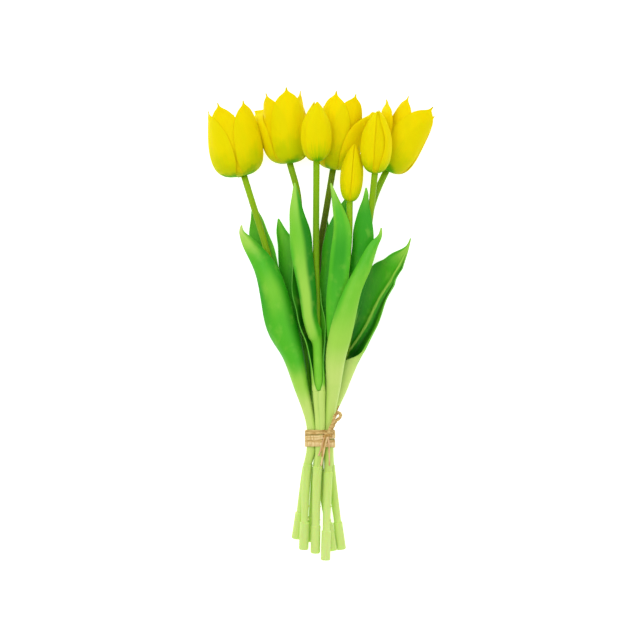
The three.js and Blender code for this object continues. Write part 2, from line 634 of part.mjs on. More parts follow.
// Flat raffia strand through chosen points, with a width and a thickness
function strandGeometry(points, width, thickness, facing) {
  const curve = new THREE.CatmullRomCurve3(points.map((p) => new THREE.Vector3(...p)), false, 'centripetal');
  const steps = 2 * (points.length - 1);
  const face = new THREE.Vector3(...facing);
  const rings = [];
  for (let k = 0; k <= steps; k += 1) {
    const tangent = curve.getTangent(k / steps);
    const over = face.clone().addScaledVector(tangent, -face.dot(tangent)).normalize();
    const across = new THREE.Vector3().crossVectors(over, tangent);
    rings.push({
      centre: curve.getPoint(k / steps), over, across, halfWidth: width / 2, halfHeight: thickness / 2,
    });
  }
  return barGeometry(rings, 6);
}

// Knot, loop and tails lie on the wraps, in front, right of the middle
const knotHeight = tieHeight + stemSpacing + sheathRadius + leafThickness / 2 + clearance + wrapThickness;
const knot = [5, 2.6, knotHeight - 0.4];
const strands = [
  { points: [[2.4, 3.4, knotHeight - 0.9], [5.4, 2.4, knotHeight + 0.5], [9.4, 3.2, knotHeight - 2]], width: 4.4 },
  { points: [knot, [11.5, 8, knotHeight - 2.4], [17.6, 17, knotHeight - 4], [18.6, 22, knotHeight - 4.4],
    [15.6, 23.6, knotHeight - 3.4], [12.4, 15, knotHeight - 0.6], [6, 3.4, knotHeight + 0.2]], width: 3.6 },
  { points: [[12.8, 17, knotHeight - 0.6], [15.4, 25, knotHeight + 0.2], [17.3, 30, knotHeight + 1.4]], width: 1.4 },
  { points: [knot, [1.6, -8, knotHeight - 0.6], [-0.8, -16.6, knotHeight - 0.8]], width: 1.8 },
  { points: [knot, [2.4, -6, knotHeight + 0.4], [1.6, -17.2, knotHeight + 0.8]], width: 1.6 },
  { points: [knot, [4.6, -6, knotHeight - 0.1], [0.9, -26, knotHeight + 0.4]], width: 2.2 },
  { points: [knot, [7.8, -6, knotHeight - 1.2], [8.6, -25.6, knotHeight - 2.2]], width: 2 },
];
const strandThickness = 1.2;

function tieGeometry() {
  const pieces = strands.map((s) => strandGeometry(s.points, s.width, strandThickness, [0, 0, 1]));
  return solidGeometry(joinedSolid([wrapGeometry(), ...pieces]));
}

// The bunch
for (const [name, stem] of Object.entries(stems)) {
  addMesh(`stem_${name}`, stemGeometry(name, stem), stemGreen);
}
for (const [name, leaf] of Object.entries(leaves)) {
  addMesh(name, leafGeometry(leaf), leafGreen);
}
for (const [name, bloom] of Object.entries(blooms)) {
  addMesh(name, bloomGeometry(bloom), petalYellow);
}
for (const name of heartNames) {
  addMesh(`heart_${name}`, heartGeometry(blooms[`bloom_${name}`]), heartGreen);
}
addMesh('raffia_tie', tieGeometry(), raffiaTan);

bunch.position.copy(boxOffset);

export default bunch;
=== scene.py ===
import bpy
import bmesh
import math
from mathutils import Matrix, Vector


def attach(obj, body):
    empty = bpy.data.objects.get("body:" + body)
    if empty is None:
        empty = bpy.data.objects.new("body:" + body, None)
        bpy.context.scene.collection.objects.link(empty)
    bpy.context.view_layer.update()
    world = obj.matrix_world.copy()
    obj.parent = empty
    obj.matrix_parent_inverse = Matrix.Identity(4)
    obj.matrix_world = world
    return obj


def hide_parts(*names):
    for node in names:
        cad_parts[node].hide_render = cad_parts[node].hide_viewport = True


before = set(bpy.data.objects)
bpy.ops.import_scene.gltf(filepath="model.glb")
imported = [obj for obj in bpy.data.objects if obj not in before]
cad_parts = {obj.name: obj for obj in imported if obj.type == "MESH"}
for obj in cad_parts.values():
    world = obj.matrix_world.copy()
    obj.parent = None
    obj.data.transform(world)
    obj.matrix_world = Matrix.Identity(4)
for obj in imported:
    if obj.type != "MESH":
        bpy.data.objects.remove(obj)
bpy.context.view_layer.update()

# Viewpoint. The bunch lies on a table and is looked at straight down, with the
# blooms away from the viewer, through a long lens.
view_width = 0.5983
view_height = 5.0
bunch_middle_height = 0.03
camera_data = bpy.data.cameras.new("camera")
camera_data.sensor_width = 36.0
camera_data.lens = camera_data.sensor_width * (view_height - bunch_middle_height) / view_width
camera_data.clip_end = 50.0
camera = bpy.data.objects.new("camera", camera_data)
camera.location = (-0.00007, 0.00359, view_height)
bpy.context.scene.collection.objects.link(camera)
bpy.context.scene.camera = camera

# The seven stems. Each is a smooth moulded stalk, round and a little waxy: a sleeve at
# its cut end, a thick tube that ends in a rim just under the tie, and a slimmer upper
# part that runs on through the tie to its bloom. The raffia holds all seven together.
sleeve_radius = 4.3
neck_radius = 2.3
tie_radius = 3.05
top_radius = 3.0
tie_height = 18.0
stem_spacing = 9.4
tie_half_width = 11.0
hexagon_x = stem_spacing * math.cos(math.radians(30))
hexagon_z = stem_spacing / 2

# Each stem: its slot in the tie, the length of its sleeve, its cut end, a point under the tie, its tube's
# rim height, rim radius and radius at the sleeve, and the points that its upper part runs through
stems = {
    "a": dict(slot=(-hexagon_x, tie_height + hexagon_z), sleeve=26,
              end=(-15.4, -104.8, 12.6), under_tie=(-11.7, -28, 20.5), tube=(-24.2, 4.4, 3.2),
              path=[(-27.5, 80, 23.6), (-48.5, 170.5, 23.8), (-70.8, 244.4, 24.2)]),
    "b": dict(slot=(-hexagon_x, tie_height - hexagon_z), sleeve=25,
              end=(-22.4, -95, 3.8), under_tie=(-12.2, -28, 11), tube=(-27.4, 4.3, 3.3),
              path=[(-15, 90, 15.6), (-18, 165, 18.4), (-20.5, 226, 21.2), (-28.1, 256, 22.2)]),
    "c": dict(slot=(0, tie_height + stem_spacing), sleeve=26,
              end=(-4.4, -108, 13.4), under_tie=(-2.3, -28, 25.5), tube=(-26.6, 4.3, 3.7),
              path=[(-1, 40, 29), (-2, 80, 31), (-3.6, 165, 38), (-3.3, 256.9, 50)]),
    "d": dict(slot=(0, tie_height - stem_spacing), sleeve=24,
              end=(-9.3, -98, 4.6), under_tie=(-3.3, -28, 6.8), tube=(-28, 4.2, 3.3),
              path=[(-0.6, 45, 9.6), (-1.4, 80, 12.5), (-1.9, 164, 18.4), (5, 208, 18.6),
                    (12.1, 250.4, 18.5)]),
    "e": dict(slot=(hexagon_x, tie_height + hexagon_z), sleeve=28,
              end=(5.1, -114.6, 17.2), under_tie=(7.6, -28, 21.8), tube=(-31.7, 4.35, 3.4),
              path=[(16.8, 90, 33.6), (26.6, 180, 41.6), (27.6, 219.6, 44)]),
    "f": dict(slot=(0, tie_height), sleeve=26,
              end=(11.8, -106, 8.2), under_tie=(-0.2, -28, 16), tube=(-28.6, 3.8, 3.2),
              path=[(1.2, 28, 18.4), (6.4, 48, 18.6), (18, 80, 20.8), (33, 130, 27.4),
                    (46.5, 205, 39.6), (50.9, 246, 50)]),
    "g": dict(slot=(hexagon_x, tie_height - hexagon_z), sleeve=26,
              end=(20, -105, 3.8), under_tie=(9.8, -28, 11.3), tube=(-26.1, 4.3, 3.4),
              path=[(24, 80, 16), (38.5, 160, 18.4), (48.5, 216, 18.6), (54, 232, 18.5),
                    (62, 249.3, 18.7)]),
}

# The middle of the whole bunch as seen from above, measured from the tie
bunch_middle = (1.0, 105.45)


def placed(point):
    """A point measured in millimetres from the tie, turned into metres from the middle of the bunch."""
    x, y, z = point
    return Vector(((x - bunch_middle[0]) / 1000, (y - bunch_middle[1]) / 1000, max(z, 0.0) / 1000))


def smooth_line(points, steps):
    """Points along one smooth line through all of the given ones."""
    points = [Vector(p) for p in points]
    line = []
    for step in range(steps + 1):
        place = (len(points) - 1) * step / steps
        index = min(int(place), len(points) - 2)
        f = place - index
        p1, p2 = points[index], points[index + 1]
        p0 = points[index - 1] if index > 0 else 2 * p1 - p2
        p3 = points[index + 2] if index + 2 < len(points) else 2 * p2 - p1
        d0 = max((p1 - p0).length ** 0.5, 1e-4)
        d1 = max((p2 - p1).length ** 0.5, 1e-4)
        d2 = max((p3 - p2).length ** 0.5, 1e-4)
        t1 = ((p1 - p0) / d0 - (p2 - p0) / (d0 + d1) + (p2 - p1) / d1) * d1
        t2 = ((p2 - p1) / d1 - (p3 - p1) / (d1 + d2) + (p3 - p2) / d2) * d1
        line.append(p1 + t1 * f + (3 * (p2 - p1) - 2 * t1 - t2) * f * f
                    + (2 * (p1 - p2) + t1 + t2) * f ** 3)
    return line


stem_lines = {}
for stem_name, stem in stems.items():
    slot_x, slot_z = stem["slot"]
    slot = [(slot_x, -tie_half_width, slot_z), (slot_x, tie_half_width, slot_z)]
    stem_lines[stem_name] = smooth_line([stem["end"], stem["under_tie"]] + slot + stem["path"], 400)


def stem_point(name, y):
    """The middle of a stem at the height y along the bunch."""
    line = stem_lines[name]
    low, high = 0, len(line) - 1
    while high - low > 1:
        middle = (low + high) // 2
        if line[middle].y < y:
            low = middle
        else:
            high = middle
    return line[low].lerp(line[high], (y - line[low].y) / (line[high].y - line[low].y))


def stem_direction(name, y):
    """The way a stem runs at the height y along the bunch."""
    return (stem_point(name, y + 0.5) - stem_point(name, y - 0.5)).normalized()


def sides_of(direction):
    """The two directions across a line: the one nearest to straight up, and the one beside it."""
    over = (Vector((0, 0, 1)) - direction * direction.z).normalized()
    return over, direction.cross(over)


def ring_matrix(centre, direction, half_width, half_height=None):
    """Places a unit circle round a line, with its own width and height."""
    over, across = sides_of(direction)
    half_height = half_width if half_height is None else half_height
    return Matrix((
        (across.x * half_width, over.x * half_height, direction.x, centre.x),
        (across.y * half_width, over.y * half_height, direction.y, centre.y),
        (across.z * half_width, over.z * half_height, direction.z, centre.z),
        (0, 0, 0, 1)))


def drawn_bar(bm, rings, sides, along=None):
    """A solid bar drawn out from a first circle through every ring, with both ends closed."""
    layer = bm.verts.layers.float.get("along") or bm.verts.layers.float.new("along")
    start = bmesh.ops.create_circle(bm, cap_ends=True, segments=sides, radius=1.0, matrix=rings[0])
    ring = set(start["verts"])
    edges = [edge for edge in bm.edges if edge.verts[0] in ring and edge.verts[1] in ring]
    share = along or [k / (len(rings) - 1) for k in range(len(rings))]
    for vert in start["verts"]:
        vert[layer] = share[0]
    for k in range(1, len(rings)):
        grown = bmesh.ops.extrude_edge_only(bm, edges=edges)["geom"]
        verts = [part for part in grown if isinstance(part, bmesh.types.BMVert)]
        ring = set(verts)
        edges = [part for part in grown if isinstance(part, bmesh.types.BMEdge)
                 and part.verts[0] in ring and part.verts[1] in ring]
        bmesh.ops.transform(bm, matrix=rings[k] @ rings[k - 1].inverted(), verts=verts)
        for vert in verts:
            vert[layer] = share[k]
    bmesh.ops.contextual_create(bm, geom=edges)
    # The faces are sorted along a slanted line, so that every run lists them in the same order
    slanted = Vector((0.11, 1, 0.37))
    bm.faces.sort(key=lambda face: face.calc_center_median().dot(slanted))
    return bm


def laid_piece(name, bm, material, node):
    """Puts a finished shape in its place, resting on the table, as a named piece of one material."""
    for vert in bm.verts:
        vert.co = placed(vert.co)
    bmesh.ops.recalc_face_normals(bm, faces=bm.faces[:])
    mesh = bpy.data.meshes.new(name)
    bm.to_mesh(mesh)
    bm.free()
    mesh.shade_smooth()
    mesh.materials.append(material)
    piece = bpy.data.objects.new(name, mesh)
    bpy.context.scene.collection.objects.link(piece)
    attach(piece, "root")
    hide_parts(node)
    return piece


def rounded(piece):
    """Smooths a piece all over, the same in every view."""
    smoothing = piece.modifiers.new("smoothing", "SUBSURF")
    smoothing.levels = 1
    smoothing.render_levels = 1


def walled(piece, thickness):
    """Gives a piece its thickness in millimetres, half of it to each side, and smooths it."""
    wall = piece.modifiers.new("wall", "SOLIDIFY")
    wall.thickness = thickness / 1000
    wall.offset = 0.0
    rounded(piece)


def paint(red, green, blue):
    """A colour as it is mixed, from 0 to 255, turned into the shader's own measure."""
    return tuple(((c / 255 + 0.055) / 1.055) ** 2.4 if c > 10 else c / 255 / 12.92
                 for c in (red, green, blue)) + (1.0,)


# How far light passes into a stalk or a petal, in metres
glow_depth = 0.002


def new_finish(name, roughness, specular, sheen=0.0, subsurface=0.0, glow=(1.0, 0.7, 0.1)):
    """A new material with its plain properties; glow is how far its red, green and blue light pass in."""
    material = bpy.data.materials.new(name)
    material.use_nodes = True
    shader = material.node_tree.nodes["Principled BSDF"]
    plain = {"Roughness": roughness, "Specular IOR Level": specular, "Sheen Weight": sheen,
             "Subsurface Weight": subsurface, "Subsurface Radius": glow, "Subsurface Scale": glow_depth}
    for socket, value in plain.items():
        shader.inputs[socket].default_value = value
    return material, shader


def add_node(material, kind, **settings):
    """A new node in a material, with its sockets and settings filled in."""
    node = material.node_tree.nodes.new(kind)
    for key, value in settings.items():
        if key in node.inputs:
            node.inputs[key].default_value = value
        else:
            setattr(node, key, value)
    return node


def join(source, target):
    """Leads one node's result into another node."""
    source.id_data.links.new(source, target)


def colour_run(material, place, stops):
    """Colours that change smoothly along a piece, each with its place from 0 to 1."""
    node = add_node(material, "ShaderNodeValToRGB")
    ramp = node.color_ramp
    ramp.interpolation = "EASE"
    while len(ramp.elements) > 1:
        ramp.elements.remove(ramp.elements[-1])
    ramp.elements[0].position = stops[0][0]
    ramp.elements[0].color = stops[0][1]
    for position, colour in stops[1:]:
        ramp.elements.new(position).color = colour
    join(place, node.inputs["Fac"])
    return node.outputs["Color"]


def blended(material, share, first, second, kind="MIX", strength=None):
    """Two colours laid over each other by a share from 0 to 1, which a strength can weaken."""
    if strength is not None:
        share = measured(material, "MULTIPLY", share, strength)
    node = add_node(material, "ShaderNodeMix", data_type="RGBA", blend_type=kind)
    for source, socket in ((share, node.inputs[0]), (first, node.inputs[6]), (second, node.inputs[7])):
        if isinstance(source, (int, float, tuple)):
            socket.default_value = source
        else:
            join(source, socket)
    return node.outputs[2]


def measured(material, kind, first, second=0.5, third=0.0):
    """One step of arithmetic on a number that changes over the surface."""
    node = add_node(material, "ShaderNodeMath", operation=kind)
    for source, socket in ((first, node.inputs[0]), (second, node.inputs[1]), (third, node.inputs[2])):
        if isinstance(source, (int, float)):
            socket.default_value = source
        else:
            join(source, socket)
    return node.outputs[0]


def shifted(material, place, noise, reach):
    """A place along or across a piece, moved to and fro by soft noise."""
    return measured(material, "ADD", place, measured(material, "MULTIPLY_ADD", noise, reach, -reach / 2))


def soft_noise(material, scale, stretch=(1, 1, 1), detail=3.0, source=None):
    """Soft clouding in the object's own measure, drawn out along chosen directions."""
    if source is None:
        source = add_node(material, "ShaderNodeTexCoord").outputs["Object"]
    mapping = add_node(material, "ShaderNodeMapping")
    mapping.inputs["Scale"].default_value = stretch
    join(source, mapping.inputs["Vector"])
    noise = add_node(material, "ShaderNodeTexNoise")
    noise.inputs["Scale"].default_value = scale
    noise.inputs["Detail"].default_value = detail
    join(mapping.outputs["Vector"], noise.inputs["Vector"])
    return noise.outputs["Fac"]


def grid_place(material, uv_map):
    """Where a point lies on the flat grid it was bent from, then its place across and along that grid."""
    uv = add_node(material, "ShaderNodeUVMap", uv_map=uv_map).outputs["UV"]
    split = add_node(material, "ShaderNodeSeparateXYZ")
    join(uv, split.inputs["Vector"])
    return uv, split.outputs["X"], split.outputs["Y"]


def rising(material, value, low, high):
    """A share that rises softly from 0 to 1 between two values."""
    node = add_node(material, "ShaderNodeMapRange", interpolation_type="SMOOTHSTEP")
    node.inputs["From Min"].default_value = low
    node.inputs["From Max"].default_value = high
    join(value, node.inputs["Value"])
    return node.outputs["Result"]


def raised(material, shader, height, depth, strength=1.0):
    """Fine relief from a height that changes over the surface, with its depth in metres."""
    bump = add_node(material, "ShaderNodeBump")
    bump.inputs["Strength"].default_value = strength
    bump.inputs["Distance"].default_value = depth
    join(height, bump.inputs["Height"])
    join(bump.outputs["Normal"], shader.inputs["Normal"])


# Each stem's colours, from 0 at its cut end to 1 at its bloom
stem_colours = {
    "a": [(0, (216, 240, 140)), (0.28, (206, 234, 126)), (0.42, (128, 190, 40)), (0.75, (132, 172, 8)),
          (1, (150, 190, 10))],
    # Stem b's deep green part way up is painted shade, for where it shows between the front left and the
    # channelled leaves
    "b": [(0, (216, 240, 140)), (0.28, (204, 232, 122)), (0.42, (96, 170, 30)), (0.56, (60, 140, 12)),
          (0.8, (122, 162, 6)), (1, (140, 182, 12))],
    "c": [(0, (218, 242, 142)), (0.28, (210, 236, 130)), (0.45, (126, 184, 30)), (0.8, (118, 168, 4)),
          (1, (138, 186, 6))],
    "d": [(0, (212, 236, 136)), (0.28, (200, 230, 118)), (0.5, (84, 116, 14)), (0.68, (64, 62, 2)),
          (0.84, (92, 104, 2)), (1, (118, 146, 6))],
    "e": [(0, (220, 242, 146)), (0.28, (210, 238, 130)), (0.45, (136, 196, 40)), (0.8, (128, 180, 8)),
          (1, (146, 192, 10))],
    "f": [(0, (214, 238, 138)), (0.28, (202, 232, 120)), (0.45, (118, 174, 24)), (0.8, (130, 172, 6)),
          (1, (144, 186, 8))],
    "g": [(0, (214, 238, 138)), (0.28, (202, 232, 120)), (0.45, (112, 168, 24)), (0.8, (136, 176, 8)),
          (1, (138, 186, 8))],
}


def stem_finish(name):
    """A waxy green stalk, pale at its foot, with faint streaks that run along it."""
    material, shader = new_finish("stem_green_" + name, roughness=0.46, specular=0.15, subsurface=0.3,
                                  glow=(0.5, 1.0, 0.1))
    along = add_node(material, "ShaderNodeAttribute", attribute_name="along").outputs["Fac"]
    streaks = soft_noise(material, 900, (1, 0.05, 1), 4)
    clouding = soft_noise(material, 60, (1, 0.4, 1), 2)
    place = shifted(material, along, clouding, 0.14)
    colour = colour_run(material, place, [(p, paint(*c)) for p, c in stem_colours[name]])
    darker = blended(material, 1.0, colour, (0.8, 0.84, 0.62, 1), "MULTIPLY")
    join(blended(material, streaks, colour, darker, strength=0.6), shader.inputs["Base Color"])
    raised(material, shader, streaks, 0.00025, 0.35)
    return material


def stem_levels(bottom, top, sleeve, tube):
    """Every height along a stem with its radius there, from its cut end to its bloom."""
    shoulder = bottom + sleeve
    rim, rim_radius, shoulder_radius = tube
    # The rounded cut end and the sleeve, up to the step at its shoulder
    levels = [(bottom, sleeve_radius - 0.8), (bottom + 0.2, sleeve_radius - 0.25),
              (bottom + 0.8, sleeve_radius + 0.1), (bottom + 1.6, sleeve_radius + 0.2),
              (shoulder - 4, sleeve_radius + 0.05), (shoulder - 1, sleeve_radius + 0.1),
              (shoulder - 0.5, sleeve_radius + 0.05), (shoulder - 0.2, sleeve_radius - 0.1),
              (shoulder - 0.1, shoulder_radius + 0.2), (shoulder + 0.3, shoulder_radius)]
    # The thick tube, which widens up to its rim
    count = int((rim - shoulder) / 5)
    for k in range(1, count + 1):
        y = shoulder + 0.3 + (rim - 1 - shoulder) * k / count
        levels.append((y, shoulder_radius + (rim_radius - shoulder_radius) * k / count))
    # The rim and the thin neck under the tie
    levels += [(rim - 0.3, rim_radius + 0.1), (rim - 0.1, rim_radius), (rim, rim_radius - 0.2),
               (rim + 0.1, neck_radius + 0.1), (rim + 0.6, neck_radius),
               (-tie_half_width - 2, neck_radius + 0.1)]
    # The upper part, from the tie to the bloom
    count = int((top + tie_half_width) / 6)
    for k in range(count + 1):
        y = -tie_half_width + (top + tie_half_width) * k / count
        levels.append((y, tie_radius + (top_radius - tie_radius) * k / count))
    return levels


# Small moulded nibs stand out to one side of three of the stems
nib_stems = "ace"
nib_heights = (-62.5, -75)
nib_direction = Vector((0.88, -0.4, 0.25)).normalized()
nib_profile = ((2.4, 1.3), (3.6, 1.1), (4.5, 0.6), (5, 0.15))

for stem_name, stem in stems.items():
    bottom = stem["end"][1]
    top = stem["path"][-1][1] - 0.05
    levels = stem_levels(bottom, top, stem["sleeve"], stem["tube"])
    rings = [ring_matrix(stem_point(stem_name, y), stem_direction(stem_name, y), radius)
             for y, radius in levels]
    stalk = drawn_bar(bmesh.new(), rings, 20, [(y - bottom) / (top - bottom) for y, _ in levels])
    if stem_name in nib_stems:
        for y in nib_heights:
            nib = [ring_matrix(stem_point(stem_name, y) + nib_direction * reach, nib_direction, radius)
                   for reach, radius in nib_profile]
            drawn_bar(stalk, nib, 8, [(y - bottom) / (top - bottom)] * len(nib))
    node = "stem_" + stem_name
    laid_piece(node + "_stalk", stalk, stem_finish(stem_name), node)

# The eleven leaves. Each is a soft, smooth blade, moulded in one with a sheath that
# wraps its stem; the tie holds the lower sheaths. The blade opens above the tie, cups
# along its middle and ends in a fine waved rim.
leaf_thickness = 1.0
sheath_radius = 4.0
sheath_foot_radius = 3.1
sheath_curl = 166
clearance = 0.3
cleared_stem_radius = 3.0
neck_reach = 13

# Each leaf: its stem, where its sheath starts and opens, its wave, and its blade's stations: x, y, z, half
# width as seen, curl of each half, the way the hollow side faces, and the right half's own curl if any
leaves = {
    "leaf_front_left": dict(stem="a", foot=-23.4, mouth=26, mouth_radius=4.6, wave=1.1, blade=[
        (-17.5, 47.5, 30, 6.4, 105, 180), (-24.6, 75.5, 33.4, 9.6, 84, 180),
        (-34.1, 100.7, 36.6, 14.2, 64, 180), (-41.5, 130.5, 38.4, 13.4, 55, 180),
        (-51.9, 158.4, 38.6, 10.4, 50, 180), (-65.6, 181, 37, 6.2, 45, 180),
        (-72.6, 191, 36, 2.6, 40, 180), (-73, 198.4, 36.5, 0.5, 30, 180)]),
    "leaf_behind_left": dict(stem="a", foot=50, mouth=62, mouth_radius=4.2, wave=0.8, blade=[
        (-35, 100, 17.4, 7.2, 75, 0), (-44.5, 140, 15.8, 10, 50, 0), (-52.5, 170, 15.8, 11, 40, 0),
        (-57, 190, 16.4, 9, 36, 0), (-60, 206, 17.2, 5, 34, 0), (-62.4, 219, 18, 0.5, 30, 0)]),
    "leaf_low_left": dict(stem="b", foot=-26.6, mouth=20, mouth_radius=4, wave=0.8, blade=[
        (-12.8, 44, 9, 4.6, 120, 0), (-17.4, 78, 8, 6.8, 76, 0), (-23.4, 116, 7.6, 8.8, 48, 0),
        (-27.5, 150, 8, 9.6, 38, 0), (-30.5, 175, 8.6, 9, 36, 0), (-36, 192, 9, 5, 34, 0),
        (-39, 205, 9.4, 0.5, 30, 0)]),
    "leaf_rolled": dict(stem="c", foot=44, mouth=84, mouth_radius=4.2, wave=0.5, blade=[
        (-5.2, 96, 39, 5.7, 104, 180), (-9.2, 112, 42.6, 6.6, 72, 180), (-11.4, 134, 45, 8, 58, 180),
        (-15.1, 160, 46.8, 9.4, 55, 180), (-17.9, 185, 48, 10.2, 55, 180), (-21, 205, 48, 7.4, 55, 180),
        (-22.4, 222, 47, 4.2, 50, 180), (-23.6, 237.5, 46, 0.5, 30, 180)]),
    "leaf_channelled": dict(stem="c", foot=-25.8, mouth=41, mouth_radius=5.6, wave=1.1,
                            sheath_curl=187, lap=0.1, blade=[
        (-1.4, 46, 23.6, 5.8, 158, 0), (-1.5, 54, 23.6, 6, 135, 0), (-2.6, 70, 24, 6.4, 122, 0),
        (-4, 90, 24, 8.8, 102, 0), (-8.1, 107, 24.2, 12.2, 84, 0), (-10.4, 125, 25.4, 12.2, 76, 0),
        (-14, 140, 27, 12, 66, 0), (-15.4, 157, 29, 11.2, 58, 0), (-16.8, 176, 31.4, 7.6, 50, 0),
        (-18.6, 192, 33, 0.5, 40, 0)]),
    "leaf_upright": dict(stem="e", foot=46, mouth=60, mouth_radius=4.2, wave=0.6, blade=[
        (15.2, 80, 38.4, 5.6, 95, 180), (14.2, 98, 41.6, 7.6, 66, 180), (15.5, 126, 44.4, 9.8, 45, 180),
        (17.4, 154, 46.6, 9.5, 38, 180), (19.4, 173, 48.6, 9.3, 34, 180), (20.5, 191, 50, 8.4, 32, 180),
        (18.2, 208, 50, 5.8, 34, 180), (13, 226, 49, 2.4, 34, 180), (10, 237, 48, 0.5, 30, 180)]),
    "leaf_front_right": dict(stem="e", foot=-30.9, mouth=20, mouth_radius=4.2, wave=0.8, blade=[
        (12.4, 46, 35.4, 6.2, 110, 180), (14.2, 71, 43, 8.8, 78, 180), (17.4, 91, 47.6, 10.2, 60, 180),
        (23.8, 114, 51, 9.8, 50, 180), (32, 141, 52, 7.6, 46, 180), (41.6, 162, 51.4, 6.4, 45, 180),
        (49.6, 178, 50.6, 4.2, 45, 180), (55.6, 188, 50, 1.8, 40, 180), (56.9, 195.6, 50, 0.5, 30, 180)]),
    "leaf_behind_right": dict(stem="f", foot=-27.8, mouth=27, mouth_radius=4, wave=0.6, blade=[
        (7, 50, 23.6, 4.7, 105, 180), (17.4, 78, 26.2, 5.8, 70, 180), (25, 106, 29.6, 7.2, 52, 180),
        (30.6, 130, 32.8, 8.6, 44, 180), (36, 155, 36.2, 9.4, 38, 176), (39, 175, 39.6, 10, 34, 172),
        (39.8, 192, 42.8, 9.6, 32, 170), (41.4, 210, 45, 6, 32, 172), (42.8, 222, 45.6, 3.2, 32, 176),
        (42.9, 233, 45.8, 0.5, 30, 180)]),
    "leaf_behind_middle": dict(stem="d", foot=-27.2, mouth=22, mouth_radius=4, wave=0.7, blade=[
        (-0.6, 44, 14.4, 4.8, 105, 180), (1, 70, 18, 6.8, 54, 180), (5, 100, 21.6, 9.4, 38, 180),
        (9, 130, 24.6, 12.4, 34, 180), (14, 157, 26.6, 13, 30, 180), (14.8, 176, 28.2, 13, 28, 180),
        (17, 196, 30, 9, 28, 180), (20.6, 212, 31, 4.6, 28, 180), (24.2, 223, 31.6, 0.5, 25, 180)]),
    "leaf_far_right": dict(stem="g", foot=-25.3, mouth=22, mouth_radius=4.2, wave=0.9,
                           depth=0.6, crest=2.2, blade=[
        (18.5, 42, 7.9, 6.7, 150, -15, 205), (23.1, 55, 7.7, 7.6, 140, -15, 212),
        (26.8, 66, 7.2, 8.6, 125, -15, 205), (29.6, 74, 7, 9.2, 118, -15, 165),
        (32.8, 82, 7.7, 10, 105, -15, 122), (35.7, 89, 8.5, 11, 92, -15, 112),
        (42.6, 106, 10.3, 11.7, 72, -15, 100), (46.4, 118, 11.5, 11.8, 66, -15, 92),
        (51.7, 133, 12.3, 12.1, 65, -15, 91), (59.6, 150, 13.1, 14, 65, -15, 91),
        (67.1, 160, 17, 9.8, 60, -15, 84), (72.2, 167, 19.5, 7.8, 55, -15, 77),
        (79.4, 175, 24.7, 3, 50, -15, 60), (82.4, 180, 26.8, 1.2, 40, -15, 45),
        (84.4, 186.4, 28.6, 0.5, 30, -15, 30)]),
    "leaf_under_middle": dict(stem="d", foot=84, mouth=93, mouth_radius=4, wave=0.7, blade=[
        (-1.2, 106, 7.4, 6, 78, 0), (1, 128, 5.6, 9.2, 42, 0), (3.4, 150, 5.4, 10.2, 34, 0),
        (5, 178, 6.8, 7.6, 32, 0), (6, 206, 9, 0.5, 30, 0)]),
}


def station_at(stations, u):
    """Every measure of a station list at u from 0 to 1, on a smooth line through all of the stations."""
    place = min(max(u, 0.0), 0.999999) * (len(stations) - 1)
    index = int(place)
    f = place - index
    p0 = stations[max(index - 1, 0)]
    p1 = stations[index]
    p2 = stations[index + 1]
    p3 = stations[min(index + 2, len(stations) - 1)]
    values = []
    for a, b, c, d in zip(p0, p1, p2, p3):
        slope_in = (c - a) / 2
        slope_out = (d - b) / 2
        rise = c - b
        values.append(b + f * (slope_in + f * (3 * rise - 2 * slope_in - slope_out
                                               + f * (slope_in + slope_out - 2 * rise))))
    return values


def eased(low, high, value):
    """A share that rises softly from 0 to 1 as a value goes from low to high."""
    share = min(max((value - low) / (high - low), 0.0), 1.0)
    return share * share * (3 - 2 * share)


def clear_of_stems(point):
    """A point of a leaf is bent clear of every stem that it would touch."""
    in_neck = min(max((-tie_half_width - point.y) / neck_reach, 0.0), 1.0)
    least = clearance + leaf_thickness / 2 + (0.3 if point.y > -tie_half_width else 0)
    least += cleared_stem_radius + (neck_radius - cleared_stem_radius) * in_neck
    for name, stem in stems.items():
        if point.y < stem["path"][-1][1] - 2:
            middle = stem_point(name, point.y)
            if (point - middle).length > 30:
                continue
            direction = stem_direction(name, point.y)
            away = point - middle
            away = away - direction * away.dot(direction)
            if away.length < least:
                point = point + away.normalized() * (least - away.length)
    return point


def crest_height(v, y):
    """The raised line along the far right leaf, with a groove beside it, that fades at both ends."""
    line = 0.1 * math.sqrt(max(y - 73.6, 0)) - 0.5
    crest = math.exp(-((v - line) / 0.09) ** 2)
    groove = 0.6 * math.exp(-((v - line - 0.3) / 0.16) ** 2)
    return (crest - groove) * eased(66, 80, y) * (1 - eased(166, 182, y))


